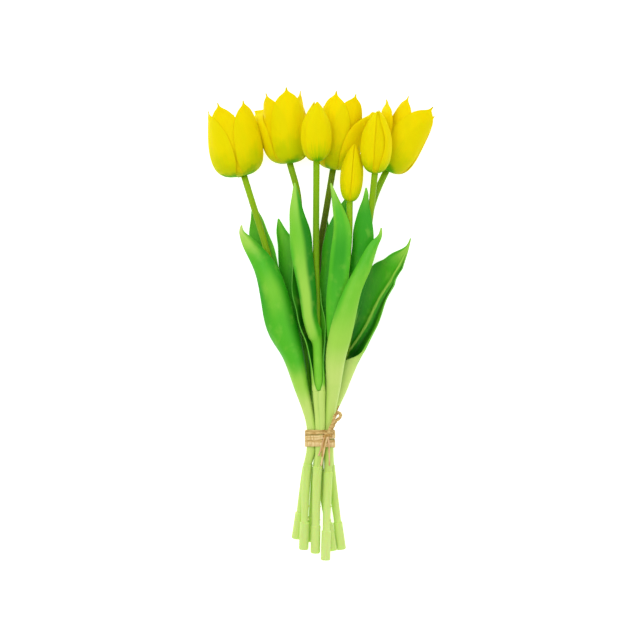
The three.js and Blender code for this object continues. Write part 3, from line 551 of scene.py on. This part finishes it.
def leaf_bmesh(leaf, rows, columns):
    """One leaf: a flat grid bent round its stem and along its own stations."""
    face = leaf["blade"][0][5]
    # Lower sheaths start in the neck of their stem and run through the tie
    closed = [(leaf["foot"], sheath_radius)]
    if leaf["foot"] < 0:
        closed = [(leaf["foot"] - 1.4, sheath_foot_radius)]
        closed += [(-tie_half_width, sheath_radius), (tie_half_width, sheath_radius)]
    closed.append((leaf["mouth"], leaf["mouth_radius"]))
    drop_x = math.sin(math.radians(face))
    drop_z = math.cos(math.radians(face))
    stations = []
    for y, radius in closed:
        centre = stem_point(leaf["stem"], y)
        curl = leaf.get("sheath_curl", sheath_curl)
        stations.append((centre.x - radius * drop_x, y, centre.z - radius * drop_z,
                         radius, curl, face, curl)[:len(leaf["blade"][0])])
    stations += leaf["blade"]

    def spine(u):
        """The middle line of the leaf: beside its stem along the sheath, then along its stations."""
        x, y, z, radius = station_at(stations, u)[:4]
        if y > leaf["mouth"]:
            return Vector((x, y, z))
        centre = stem_point(leaf["stem"], y)
        return Vector((centre.x - radius * drop_x, centre.y, centre.z - radius * drop_z))

    def leaf_point(u, v):
        """A point of the leaf at u from foot to tip and v from margin to margin, with its crest."""
        y, _, half_width, curl, turn, *right_curl = station_at(stations, u)[1:]
        direction = (spine(min(u + 0.01, 1)) - spine(max(u - 0.01, 0))).normalized()
        over, across = sides_of(direction)
        turn = math.radians(turn)
        hollow = over * math.cos(turn) + across * math.sin(turn)
        right = across * math.cos(turn) - over * math.sin(turn)
        bend = math.radians(curl)
        radius = half_width / math.sin(min(bend, math.pi / 2))
        radius *= 1 + leaf.get("lap", 0) * v * (1 - eased(leaf["mouth"], leaf["mouth"] + 9, y))
        angle = v * (math.radians(right_curl[0]) if right_curl and v > 0 else bend)
        depth = 1 + (leaf.get("depth", 1) - 1) * eased(0.3, 0.5, u)
        inward = hollow * math.cos(angle) - right * math.sin(angle)
        opening = eased(0.4, 0.6, u) * (1 - eased(0.85, 1, u))
        ripple = leaf["wave"] * opening * abs(v) ** 3 * math.sin(26 * u + math.copysign(1.7, v))
        crest = leaf.get("crest", 0) * crest_height(v, y)
        point = spine(u) + hollow * (radius * (1 - math.cos(angle)) * depth + crest)
        return clear_of_stems(point + right * (radius * math.sin(angle)) + inward * ripple), crest

    bm = bmesh.new()
    bm.loops.layers.uv.new("leaf")
    layer = bm.verts.layers.float.new("crest")
    bmesh.ops.create_grid(bm, x_segments=columns, y_segments=rows, size=1.0, calc_uvs=True)
    for vert in bm.verts:
        vert.co, vert[layer] = leaf_point((vert.co.y + 1) / 2, vert.co.x)
    return bm


# The greens of the leaves, from the pale sheath to the shaded hollow side
greens = {
    "pale": paint(206, 232, 122), "lime": paint(166, 220, 80), "light": paint(124, 206, 50),
    "bright": paint(86, 192, 34), "green": paint(56, 168, 24), "deep": paint(36, 140, 14),
    "dark": paint(16, 96, 4),
}

# Where each green lies along a leaf, from 0 at its foot to 1 at its tip: along its left margin, along its
# middle and along its right margin; then how far each margin reaches in. The runs are partly each leaf's
# own
# green and partly painted light and shade: deeper greens along margins that curl away and in channels, and
# lighter greens on some leaves that lie in the shade of others
leaf_greens = {
    "leaf_front_left": (
        "0.29 pale, 0.38 lime, 0.48 bright, 0.66 green, 0.76 bright, 0.86 lime, 0.96 pale",
        "0.28 pale, 0.37 lime, 0.45 bright, 0.56 bright, 0.66 light, 0.75 bright, 0.84 lime, 0.96 pale",
        "0.28 pale, 0.36 light, 0.44 green, 0.54 deep, 0.66 green, 0.78 green, 0.9 light, 1 pale",
        (0.05, 0.4, 0.55, 0.9)),
    "leaf_behind_left": (
        "0.3 light, 0.5 green, 1 light",
        "0.3 light, 0.5 green, 1 light",
        "0.3 light, 0.5 bright, 0.8 light, 1 lime",
        (0.05, 0.4, 0.55, 0.9)),
    "leaf_low_left": (
        "0.3 pale, 0.44 bright, 0.6 deep, 1 bright",
        "0.3 pale, 0.44 bright, 0.6 green, 1 light",
        "0.3 pale, 0.44 green, 0.6 deep, 1 bright",
        (0.05, 0.4, 0.6, 0.95)),
    "leaf_rolled": (
        "0.1 lime, 0.3 light, 0.45 green, 0.6 bright, 0.7 light, 0.95 lime",
        "0.1 light, 0.3 lime, 0.45 lime, 0.7 light, 0.95 lime",
        "0.1 light, 0.2 bright, 0.4 deep, 0.7 deep, 0.86 green, 1 lime",
        (0.04, 0.3, 0.5, 0.74)),
    "leaf_channelled": (
        "0.3 pale, 0.36 lime, 0.46 bright, 0.8 green, 1 light",
        "0.3 pale, 0.36 bright, 0.44 deep, 0.6 dark, 1 green",
        "0.3 pale, 0.36 light, 0.44 bright, 0.6 bright, 1 bright",
        (0.04, 0.22, 0.62, 0.8)),
    "leaf_upright": (
        "0.1 light, 0.4 bright, 0.6 bright, 0.85 light, 1 lime",
        "0.1 light, 0.3 bright, 0.6 green, 0.8 bright, 0.95 lime",
        "0.1 light, 0.35 bright, 0.6 bright, 0.85 light, 1 lime",
        (0.1, 0.3, 0.6, 0.9)),
    "leaf_front_right": (
        "0.34 pale, 0.5 lime, 0.62 bright, 0.85 bright, 0.96 lime",
        "0.36 pale, 0.5 lime, 0.64 light, 0.78 bright, 0.86 bright, 0.96 lime",
        "0.36 pale, 0.5 lime, 0.68 light, 0.86 light, 0.96 lime",
        (0.05, 0.3, 0.6, 0.95)),
    "leaf_behind_right": (
        "0.3 pale, 0.4 light, 0.55 deep, 0.8 green, 1 light",
        "0.3 pale, 0.4 light, 0.55 green, 0.8 green, 1 light",
        "0.3 pale, 0.4 light, 0.5 deep, 0.8 green, 1 bright",
        (0.05, 0.4, 0.6, 0.95)),
    "leaf_behind_middle": (
        "0.3 pale, 0.4 green, 0.6 bright, 0.9 green, 1 bright",
        "0.3 pale, 0.4 bright, 0.6 green, 0.9 green, 1 light",
        "0.3 pale, 0.4 green, 0.6 deep, 0.9 green, 1 bright",
        (0.05, 0.4, 0.6, 0.95)),
    "leaf_far_right": (
        "0.34 pale, 0.38 light, 0.42 dark, 0.55 deep, 0.7 green, 0.85 bright",
        "0.34 pale, 0.4 bright, 0.44 deep, 0.6 green, 0.78 bright, 0.9 lime",
        "0.38 pale, 0.46 lime, 0.5 light, 0.8 bright, 0.92 lime",
        (0.1, 0.4, 0.68, 0.88)),
    "leaf_under_middle": (
        "0 light, 0.5 deep, 1 bright",
        "0 light, 0.5 green, 1 light",
        "0 light, 0.5 deep, 1 bright",
        (0.05, 0.4, 0.6, 0.95)),
}


def green_stops(run):
    """A run of greens as written above, turned into places and colours."""
    stops = [stop.split() for stop in run.split(", ")]
    return [(float(place), greens[green]) for place, green in stops]


def leaf_finish(name):
    """A satin green blade with fine veins, pale at its sheath, with a paler rim, margins in greens that
    are partly painted shade, and a painted highlight and shadow along its crest.
    """
    material, shader = new_finish(name + "_green", roughness=0.42, specular=0.2)
    uv, across, along = grid_place(material, "leaf")
    if leaves[name]["blade"][0][5] == 180:
        across = measured(material, "SUBTRACT", 1.0, across)
    clouding = soft_noise(material, 40, (1, 0.35, 1), 3)
    place = shifted(material, along, clouding, 0.12)
    *runs, reach = leaf_greens[name]
    left, middle, right = [colour_run(material, place, green_stops(run)) for run in runs]
    drift = shifted(material, across, clouding, 0.1)
    colour = blended(material, rising(material, drift, reach[0], reach[1]), left, middle)
    colour = blended(material, rising(material, drift, reach[2], reach[3]), colour, right)
    veins = soft_noise(material, 1.0, (52, 1.1, 1), 3, uv)
    darker = blended(material, 1.0, colour, (0.74, 0.86, 0.62, 1), "MULTIPLY")
    colour = blended(material, veins, colour, darker, strength=0.5)
    mottling = rising(material, soft_noise(material, 110, (1, 0.7, 1), 4), 0.5, 0.75)
    lighter = blended(material, 0.35, colour, greens["lime"])
    colour = blended(material, mottling, colour, lighter, strength=0.6)
    crest = add_node(material, "ShaderNodeAttribute", attribute_name="crest").outputs["Fac"]
    # Painted highlight along the raised crest, and painted shadow in the groove beside it
    colour = blended(material, rising(material, crest, 0.9, 2.0), colour, greens["lime"])
    hollow = rising(material, measured(material, "MULTIPLY", crest, -1.0), 0.1, 1.2)
    colour = blended(material, hollow, colour, blended(material, 0.75, colour, greens["dark"]))
    side = measured(material, "ABSOLUTE", measured(material, "SUBTRACT", across, 0.5))
    rim = measured(material, "MULTIPLY", rising(material, side, 0.468, 0.5), 0.6)
    colour = blended(material, rim, colour, blended(material, 0.5, colour, paint(150, 210, 96)))
    join(colour, shader.inputs["Base Color"])
    grooves = measured(material, "SINE", measured(material, "MULTIPLY", across, 130.0))
    raised(material, shader, measured(material, "MULTIPLY_ADD", grooves, 0.15, veins), 0.0002, 0.4)
    return material


for leaf_name, leaf in leaves.items():
    shape = leaf_bmesh(leaf, rows=90, columns=24)
    blade = laid_piece(leaf_name + "_blade", shape, leaf_finish(leaf_name), leaf_name)
    walled(blade, leaf_thickness)

# The blooms. Each has two rings of three thick, soft petals, pressed to a cupped
# shape with a small pointed tip and glued round a green receptacle at the top
# of its stem; the buds keep their petals closed.
petal_thickness = 0.8
petal_foot = 0.6
receptacle_height = 8.0

# Each petal: the direction it faces, in degrees from straight up, the turn of its tip, its half width in
# degrees, its size and height as shares, and how far its tip leans out. A few also hug the bloom at their
# margins, tuck one margin under, have blunter shoulders, a left half of its own width or a hooked tip
blooms = {
    "bloom_a": dict(base=(-73.8, 243.7, 24.2), tip=(-86, 312.9, 25.4), radius=25, mouth=0.86, petals=[
        dict(faces=-62.5, turn=-10, half=59.5, top=0.92), dict(faces=52, turn=-7, half=54, top=0.975),
        dict(faces=173, half=60.5, size=0.996, top=0.83),
        dict(faces=-16.5, turn=-12, half=53, size=0.95),
        dict(faces=-120.5, half=61, size=0.933, top=0.82),
        dict(faces=112, half=61.5, size=0.941, top=0.84)]),
    "bloom_b": dict(base=(-28.1, 255.9, 22.2), tip=(-36, 325.4, 23), radius=20.5, mouth=1, petals=[
        dict(faces=14, half=60.5, size=0.996), dict(faces=135.5, half=60.5, size=1.004, top=0.86),
        dict(faces=-122, turn=-10, half=76, size=1.078, top=0.755, lean=16.5, hug=0.8, tuck=0.14),
        dict(faces=-48.5, turn=-4, half=59.5, size=0.955, top=0.955),
        dict(faces=71.5, half=60.5, size=0.943, top=0.94),
        dict(faces=188.5, half=61, size=0.918, top=0.86)]),
    "bud_c": dict(base=(-3.3, 256.9, 50), tip=(-3.3, 312.6, 52.6), radius=14, closed="parted", petals=[
        dict(faces=17.5, half=64, size=1.01), dict(faces=134, half=62, size=1.002, top=0.99),
        dict(faces=-105, half=66, size=1.03, tuck=0.16), dict(faces=-44, half=58.5, size=0.946, top=0.97),
        dict(faces=78, half=59, size=0.961, top=0.97),
        dict(faces=-162.5, half=59, size=0.967, top=0.97)]),
    "bloom_d": dict(base=(12.1, 250.3, 18.5), tip=(24, 320, 21.6), radius=20.4, mouth=1, petals=[
        dict(faces=-28, half=61.5, size=1.002, top=1.02),
        dict(faces=68, turn=8, half=58, size=1.037, top=0.83, lean=12, hug=0.4),
        dict(faces=-149.5, half=58.5, size=1.004, top=0.9),
        dict(faces=30, half=61, size=0.966, top=1.03),
        dict(faces=152.5, half=59.5, size=0.974, top=0.88),
        dict(faces=-88.5, half=58.5, size=0.955, top=0.8)]),
    "bud_e": dict(base=(27.6, 219.6, 44), tip=(32, 273.1, 46), radius=10.4, closed="shut", petals=[
        dict(faces=59.5, half=59, size=0.996), dict(faces=179.5, half=61.5, size=1.004, top=0.99),
        dict(faces=-62.5, half=63.5, size=1.004, tuck=0.06),
        dict(faces=2.5, half=58, size=0.938, top=0.97),
        dict(faces=121.5, size=0.932, top=0.97), dict(faces=-116, size=0.931, top=0.97)]),
    "bud_f": dict(base=(50.9, 245.9, 50), tip=(53.9, 304.6, 55), radius=14.4, closed="shut", petals=[
        dict(faces=85, half=54, size=1.002, left=82, gape=0.36),
        dict(faces=190, half=61.5, size=1.003, top=0.98),
        dict(faces=-64, half=57.5, size=1.004, top=0.985),
        dict(faces=14, half=59, size=0.91, top=0.97),
        dict(faces=133, half=59.5, size=0.949, top=0.97),
        dict(faces=-106.5, half=59, size=0.965, top=0.97)]),
    "bloom_g": dict(base=(62, 249.3, 18.7), tip=(95.4, 311.6, 21), radius=19.9, mouth=1, petals=[
        dict(faces=5.5, turn=26, half=60.5, size=1.024, top=1.02), dict(faces=130.5, half=58, top=0.9),
        dict(faces=-88, half=60, top=0.82, lean=17.6, hug=0.05, blunt=0.45, hook=5),
        dict(faces=-48.5, turn=-4, half=61, size=0.977, top=0.995),
        dict(faces=58, half=62, size=0.959, top=0.925),
        dict(faces=-170, half=59, size=0.972, top=0.86)]),
}

# A petal from its foot to its tip, as shares of the bloom: height, distance from the axis and half width
open_petal = [
    (0, 0.1, 0.6), (0.012, 0.42, 0.74), (0.06, 0.7, 0.88), (0.15, 0.89, 0.97), (0.28, 0.98, 1),
    (0.44, 1, 0.98), (0.6, 0.985, 0.91), (0.72, 0.965, 0.79), (0.82, 0.94, 0.62), (0.89, 0.925, 0.42),
    (0.935, 0.92, 0.19), (0.962, 0.925, 0.075), (0.985, 0.935, 0.04), (1.012, 0.955, 0.008),
]
closed_petal = [
    (0, 0.14, 0.7), (0.02, 0.42, 0.8), (0.08, 0.68, 0.9), (0.18, 0.88, 0.98), (0.32, 0.985, 1),
    (0.46, 1, 1), (0.6, 0.93, 1), (0.72, 0.78, 1), (0.83, 0.57, 0.97), (0.91, 0.35, 0.9),
    (0.96, 0.18, 0.85), (1, 0.03, 0.7),
]
parted_petal = closed_petal[:-3] + [(0.91, 0.37, 0.86), (0.96, 0.24, 0.6), (1, 0.13, 0.12)]
petal_shapes = {"open": open_petal, "shut": closed_petal, "parted": parted_petal}


def bloom_axes(bloom):
    """A bloom's foot, the three directions of its own frame and its height."""
    base = Vector(bloom["base"])
    axis = Vector(bloom["tip"]) - base
    height = axis.length
    axis.normalize()
    over, across = sides_of(axis)
    return base, axis, over, across, height


def petal_bmesh(bloom, faces, turn=0, half=60, size=1, top=1, lean=0, hug=0, tuck=0, blunt=1,
                left=None, gape=0, hook=0):
    """One petal: a flat grid cupped round the bloom's axis and drawn in to a pointed tip."""
    base, axis, over, across, height = bloom_axes(bloom)
    bm = bmesh.new()
    bm.loops.layers.uv.new("petal")
    bmesh.ops.create_grid(bm, x_segments=18, y_segments=34, size=1.0, calc_uvs=True)
    for vert in bm.verts:
        share, t = (vert.co.y + 1) / 2, vert.co.x
        rise, width, spread = station_at(petal_shapes[bloom.get("closed", "open")], share)
        side = half
        if left is not None and t <= 0:
            side = left * (1 - gape * math.sin(math.pi * min(max(rise, 0), 1)))
        angle = math.radians(faces + turn * rise * rise + t * side * max(spread, 0) ** blunt)
        outward = over * math.cos(angle) + across * math.sin(angle)
        closing = 1 if "closed" in bloom else 1 + (bloom["mouth"] - 1) * max(0, (rise - 0.4) / 0.6) ** 1.5
        reach = bloom["radius"] * size * width * closing + lean * rise * rise * (1 - hug * t * t)
        reach -= hook * eased(0.8, 1, rise)
        reach *= 1 - tuck * max(t, 0) ** 2
        rib = 0.35 * math.exp(-(t / 0.12) ** 2) * eased(0.1, 0.5, rise) * (1 - eased(0.8, 1, rise))
        ripple = 0.1 * math.sin(7 * t + 9 * rise + faces)
        least = 0.4 if "closed" in bloom else 1
        vert.co = (base + axis * (petal_foot + (height * top - petal_foot) * rise)
                   + outward * (max(reach, least) - rib + ripple))
    return bm


def petal_finish(name, low, middle, high, green, streak=0.1):
    """A soft matt yellow petal: green at its foot, deeper along its margins, with fine streaks."""
    material, shader = new_finish(name, roughness=0.6, specular=0.03, subsurface=0.4)
    uv, across, along = grid_place(material, "petal")
    side = measured(material, "ABSOLUTE", measured(material, "SUBTRACT", across, 0.5))
    streaks = soft_noise(material, 1.0, (46, 1.6, 1), 3, uv)
    clouding = soft_noise(material, 60, (1, 1, 1), 2)
    place = shifted(material, along, clouding, green)
    place = shifted(material, place, streaks, streak)
    place = measured(material, "ADD", place, measured(material, "MULTIPLY", side, 0.12))
    stops = [(0.1, paint(*low)), (0.22, paint(*middle)), (0.42, paint(*high))]
    colour = colour_run(material, place, stops)
    deeper = blended(material, 1.0, colour, (0.95, 0.86, 0.6, 1), "MULTIPLY")
    colour = blended(material, streaks, colour, deeper, strength=0.3)
    edge = rising(material, side, 0.455, 0.5)
    colour = blended(material, edge, colour, paint(230, 188, 0), strength=0.45)
    join(colour, shader.inputs["Base Color"])
    raised(material, shader, streaks, 0.00018, 0.35)
    return material


outer_petal = petal_finish("petal_outer", (96, 176, 0), (202, 209, 0), (240, 222, 0), 0.24)
bud_petal = petal_finish("petal_bud", (104, 180, 0), (196, 210, 0), (241, 222, 0), 0.16, 0.36)
inner_petal = petal_finish("petal_inner", (184, 198, 0), (228, 210, 0), (240, 219, 0), 0.12)
receptacle_material = stem_finish("c")

for bloom_name, bloom in blooms.items():
    base, axis, over, across, height = bloom_axes(bloom)
    wide = min(6.4, bloom["radius"] * 0.4)
    levels = [(-0.4, 2.9), (0.3, 3), (1.6, 0.75 * wide), (4, wide),
              (receptacle_height - 0.6, 0.8 * wide), (receptacle_height, 0.6 * wide)]
    rings = [ring_matrix(base + axis * level, axis, radius) for level, radius in levels]
    cup = drawn_bar(bmesh.new(), rings, 20, [1.0] * len(rings))
    laid_piece(bloom_name + "_receptacle", cup, receptacle_material, bloom_name)
    outer = bud_petal if "closed" in bloom else outer_petal
    for k, petal in enumerate(bloom["petals"]):
        petal_name = bloom_name + "_petal_" + str(k + 1)
        material = outer if k < 3 else inner_petal
        piece = laid_piece(petal_name, petal_bmesh(bloom, **petal), material, bloom_name)
        walled(piece, petal_thickness)

# The hearts of the four open blooms: a green pistil with a round, swollen top,
# and six stamens that stand round it on the receptacle.
heart_material, heart_shader = new_finish("heart_green", roughness=0.7, specular=0.2)
heart_grain = soft_noise(heart_material, 1400, (1, 1, 1), 3)
join(blended(heart_material, heart_grain, paint(150, 168, 48), paint(196, 196, 84)),
     heart_shader.inputs["Base Color"])
raised(heart_material, heart_shader, heart_grain, 0.0004, 0.5)

for letter in "abdg":
    bloom = blooms["bloom_" + letter]
    base, axis, over, across, height = bloom_axes(bloom)
    foot = receptacle_height + clearance
    heart = bmesh.new()
    pistil = [(foot, 3.6), (foot + 1.4, 3.4), (foot + 8, 2.9), (foot + 20, 2.2), (foot + 21.4, 3.4),
              (foot + 22.6, 3.8), (foot + 24, 3)]
    drawn_bar(heart, [ring_matrix(base + axis * level, axis, radius) for level, radius in pistil], 12)
    for k in range(6):
        angle = math.pi * k / 3
        outward = over * math.cos(angle) + across * math.sin(angle)
        stamen = [(foot + 0.4, 0.8, 2.8), (foot + 5, 0.7, 4.6), (foot + 9, 0.8, 6), (foot + 11, 1.5, 6.6),
                  (foot + 15, 1.5, 7.4), (foot + 18.6, 1.1, 8), (foot + 19.2, 0.5, 8)]
        drawn_bar(heart, [ring_matrix(base + axis * level + outward * reach, axis, radius)
                          for level, radius, reach in stamen], 8)
    node = "heart_" + letter
    laid_piece(node + "_pistil_and_stamens", heart, heart_material, node)

# The raffia tie: flat strands of dried palm leaf wound four times round the
# sheathed stems, knotted in front, with a folded loop and short loose ends.
raffia_tints = {
    "tan": ((160, 120, 50), (244, 216, 148), (220, 184, 112)),
    "pale": ((196, 156, 84), (252, 232, 176), (242, 212, 150)),
    "brown": ((136, 96, 34), (228, 188, 112), (194, 148, 74)),
    "pink": ((200, 150, 94), (248, 214, 168), (238, 190, 140)),
}


def raffia_finish(tint):
    """A dry, dull straw colour with coarse fibres that run along the strand, and painted shade in its
    creases and along the edges of each wrap.
    """
    dark, light, clouded = [paint(*colour) for colour in raffia_tints[tint]]
    material, shader = new_finish("raffia_" + tint, roughness=0.85, specular=0.12, sheen=0.1)
    fibre = soft_noise(material, 900, (0.25, 1, 0.25) if tint == "tan" else (1, 0.15, 1), 5)
    cloud = soft_noise(material, 140, (1, 1, 1), 3)
    painted_fold_shade = add_node(material, "ShaderNodeAttribute", attribute_name="painted_fold_shade").outputs["Fac"]
    colour = blended(material, rising(material, fibre, 0.3, 0.7), dark, light)
    colour = blended(material, cloud, colour, clouded, strength=0.7)
    # Painted shade where the strand creases and along the edges of each wrap
    colour = blended(material, painted_fold_shade, colour, dark, strength=0.75)
    join(colour, shader.inputs["Base Color"])
    raised(material, shader, fibre, 0.0005, 0.7)
    return material


raffia_materials = {tint: raffia_finish(tint) for tint in raffia_tints}


def bundle_outline(angle, outside):
    """Where a strand lies round the seven sheathed stems, in the direction of an angle."""
    sixth = math.pi / 3
    corner = round((angle - sixth / 2) / sixth) * sixth + sixth / 2
    reach = sheath_radius + leaf_thickness / 2 + clearance + outside
    return (stem_spacing * math.cos(corner) + reach * math.cos(angle),
            stem_spacing * math.sin(corner) + reach * math.sin(angle))


# Each wrap: its height and width, how far out it lies, and its tint
wraps = [(4.6, 4.7, 0.8, "tan"), (0.9, 4.2, 1.0, "pale"),
         (-2.9, 4.2, 0.75, "tan"), (-6.6, 4.6, 1.0, "pale")]
for k, (height, width, outside, tint) in enumerate(wraps):
    wrap = bmesh.new()
    layer = wrap.verts.layers.float.new("painted_fold_shade")
    bmesh.ops.create_grid(wrap, x_segments=16, y_segments=96, size=1.0)
    for vert in wrap.verts:
        around = math.pi * (vert.co.x + 1)
        angle = math.pi * (vert.co.y + 1) + 0.13
        across = math.cos(around)
        crease = math.exp(-((across - 0.3 * math.sin(angle + k)) / 0.16) ** 2)
        breadth = width / 2 * (1 + 0.12 * math.sin(3 * angle + 2 * k))
        lift = 0.5 * math.sin(around) * (1 - 0.5 * crease) + 0.15 * math.sin(5 * angle + 3 * k)
        x, z = bundle_outline(angle, outside + lift)
        vert.co = Vector((x, height + across * breadth + 0.8 * math.sin(angle + 1.9 * k), tie_height + z))
        # Painted shade in the band's crease and along both of its edges
        vert[layer] = max(crease, abs(across) ** 6)
    bmesh.ops.remove_doubles(wrap, verts=wrap.verts[:], dist=0.02)
    rounded(laid_piece("raffia_wrap_" + str(k + 1), wrap, raffia_materials[tint], "raffia_tie"))

# Each loose strand: the points along it, measured up from the knot, its width and its tint
knot_height = tie_height + stem_spacing + sheath_radius + leaf_thickness / 2 + clearance + 1.3
knot = (7.4, 2.9, -0.6)
strands = {
    "knot_over": ([(3.0, 5.6, -1.1), (6.0, 4.4, 0.3), (9.0, 5.4, -1), (11.6, 4.2, -3)], 2.4, "tan"),
    "knot_under": ([(2.6, 0.4, -1), (5.2, 2.2, 0.2), (8.4, 2.6, -0.2), (11, 1.2, -2.6)], 2.6, "brown"),
    "loop": ([knot, (11.2, 9, -2.2), (14.6, 15.6, -3.4), (18.4, 19, -4.2), (19.2, 21.8, -4.4),
              (17, 23.6, -3.6), (14.4, 21.4, -2.4), (12, 14, -0.7), (7.2, 4.4, 0.4)], 3.0, "tan"),
    "tail_up": ([(14.4, 21, -1.4), (16, 26, -0.4), (17.3, 30, 1.2)], 1.1, "brown"),
    "tail_1": ([(4.4, 3, -0.4), (2.2, -6, -0.5), (-1.3, -16.6, -0.8)], 1.5, "pink"),
    "tail_2": ([(5.6, 3.4, 0), (3.0, -7, 0.4), (1.7, -17.2, 0.8)], 1.5, "brown"),
    "tail_3": ([knot, (4.9, -6, 0.3), (0.9, -26, 0.6)], 1.7, "pale"),
    "tail_4": ([knot, (8.3, -6, -0.9), (8.8, -25.6, -1.9)], 1.4, "pink"),
}
strand_half_thickness = 0.5
for strand_name, (points, width, tint) in strands.items():
    line = smooth_line([(x, y, knot_height + z) for x, y, z in points], 8 * (len(points) - 1))
    rings = []
    for k, point in enumerate(line):
        direction = (line[min(k + 1, len(line) - 1)] - line[max(k - 1, 0)]).normalized()
        half_width = width / 2 * (1 + 0.12 * math.sin(1.3 * k))
        rings.append(ring_matrix(point, direction, half_width, strand_half_thickness))
    strand = drawn_bar(bmesh.new(), rings, 12)
    layer = strand.verts.layers.float.new("painted_fold_shade")
    # A strand has no crease: it takes a small even share of the painted fold shade all over
    for vert in strand.verts:
        vert[layer] = 0.1
    laid_piece("raffia_" + strand_name, strand, raffia_materials[tint], "raffia_tie")

# The table and the light: a plain white table top under broad, soft studio
# light, which aren't part of the bunch.
table_bm = bmesh.new()
bmesh.ops.create_grid(table_bm, x_segments=1, y_segments=1, size=4.0)
table_mesh = bpy.data.meshes.new("table_top")
table_bm.to_mesh(table_mesh)
table_bm.free()
table_top = bpy.data.objects.new("table_top", table_mesh)
bpy.context.scene.collection.objects.link(table_top)
table_material, table_shader = new_finish("table_white", roughness=0.9, specular=0.1)
table_shader.inputs["Base Color"].default_value = (0.8, 0.8, 0.8, 1)
table_shader.inputs["Emission Color"].default_value = (1, 1, 1, 1)
table_shader.inputs["Emission Strength"].default_value = 0.75
table_mesh.materials.append(table_material)

world = bpy.data.worlds.new("studio")
bpy.context.scene.world = world
world.use_nodes = True
world.node_tree.nodes["Background"].inputs["Color"].default_value = (1, 1, 1, 1)
world.node_tree.nodes["Background"].inputs["Strength"].default_value = 0.6

for light_name, place, size, energy in (
        ("light_above", (-0.5, 0.7, 1.8), 1.4, 15.0),
        ("light_side", (0.9, -0.2, 1.4), 1.2, 3.0)):
    light_data = bpy.data.lights.new(light_name, "AREA")
    light_data.shape = "DISK"
    light_data.size = size
    light_data.energy = energy
    light = bpy.data.objects.new(light_name, light_data)
    light.location = place
    aim = Vector(place) - Vector((0, 0, bunch_middle_height))
    light.rotation_euler = aim.to_track_quat("Z", "Y").to_euler()
    bpy.context.scene.collection.objects.link(light)

bpy.context.scene.view_settings.view_transform = "Standard"
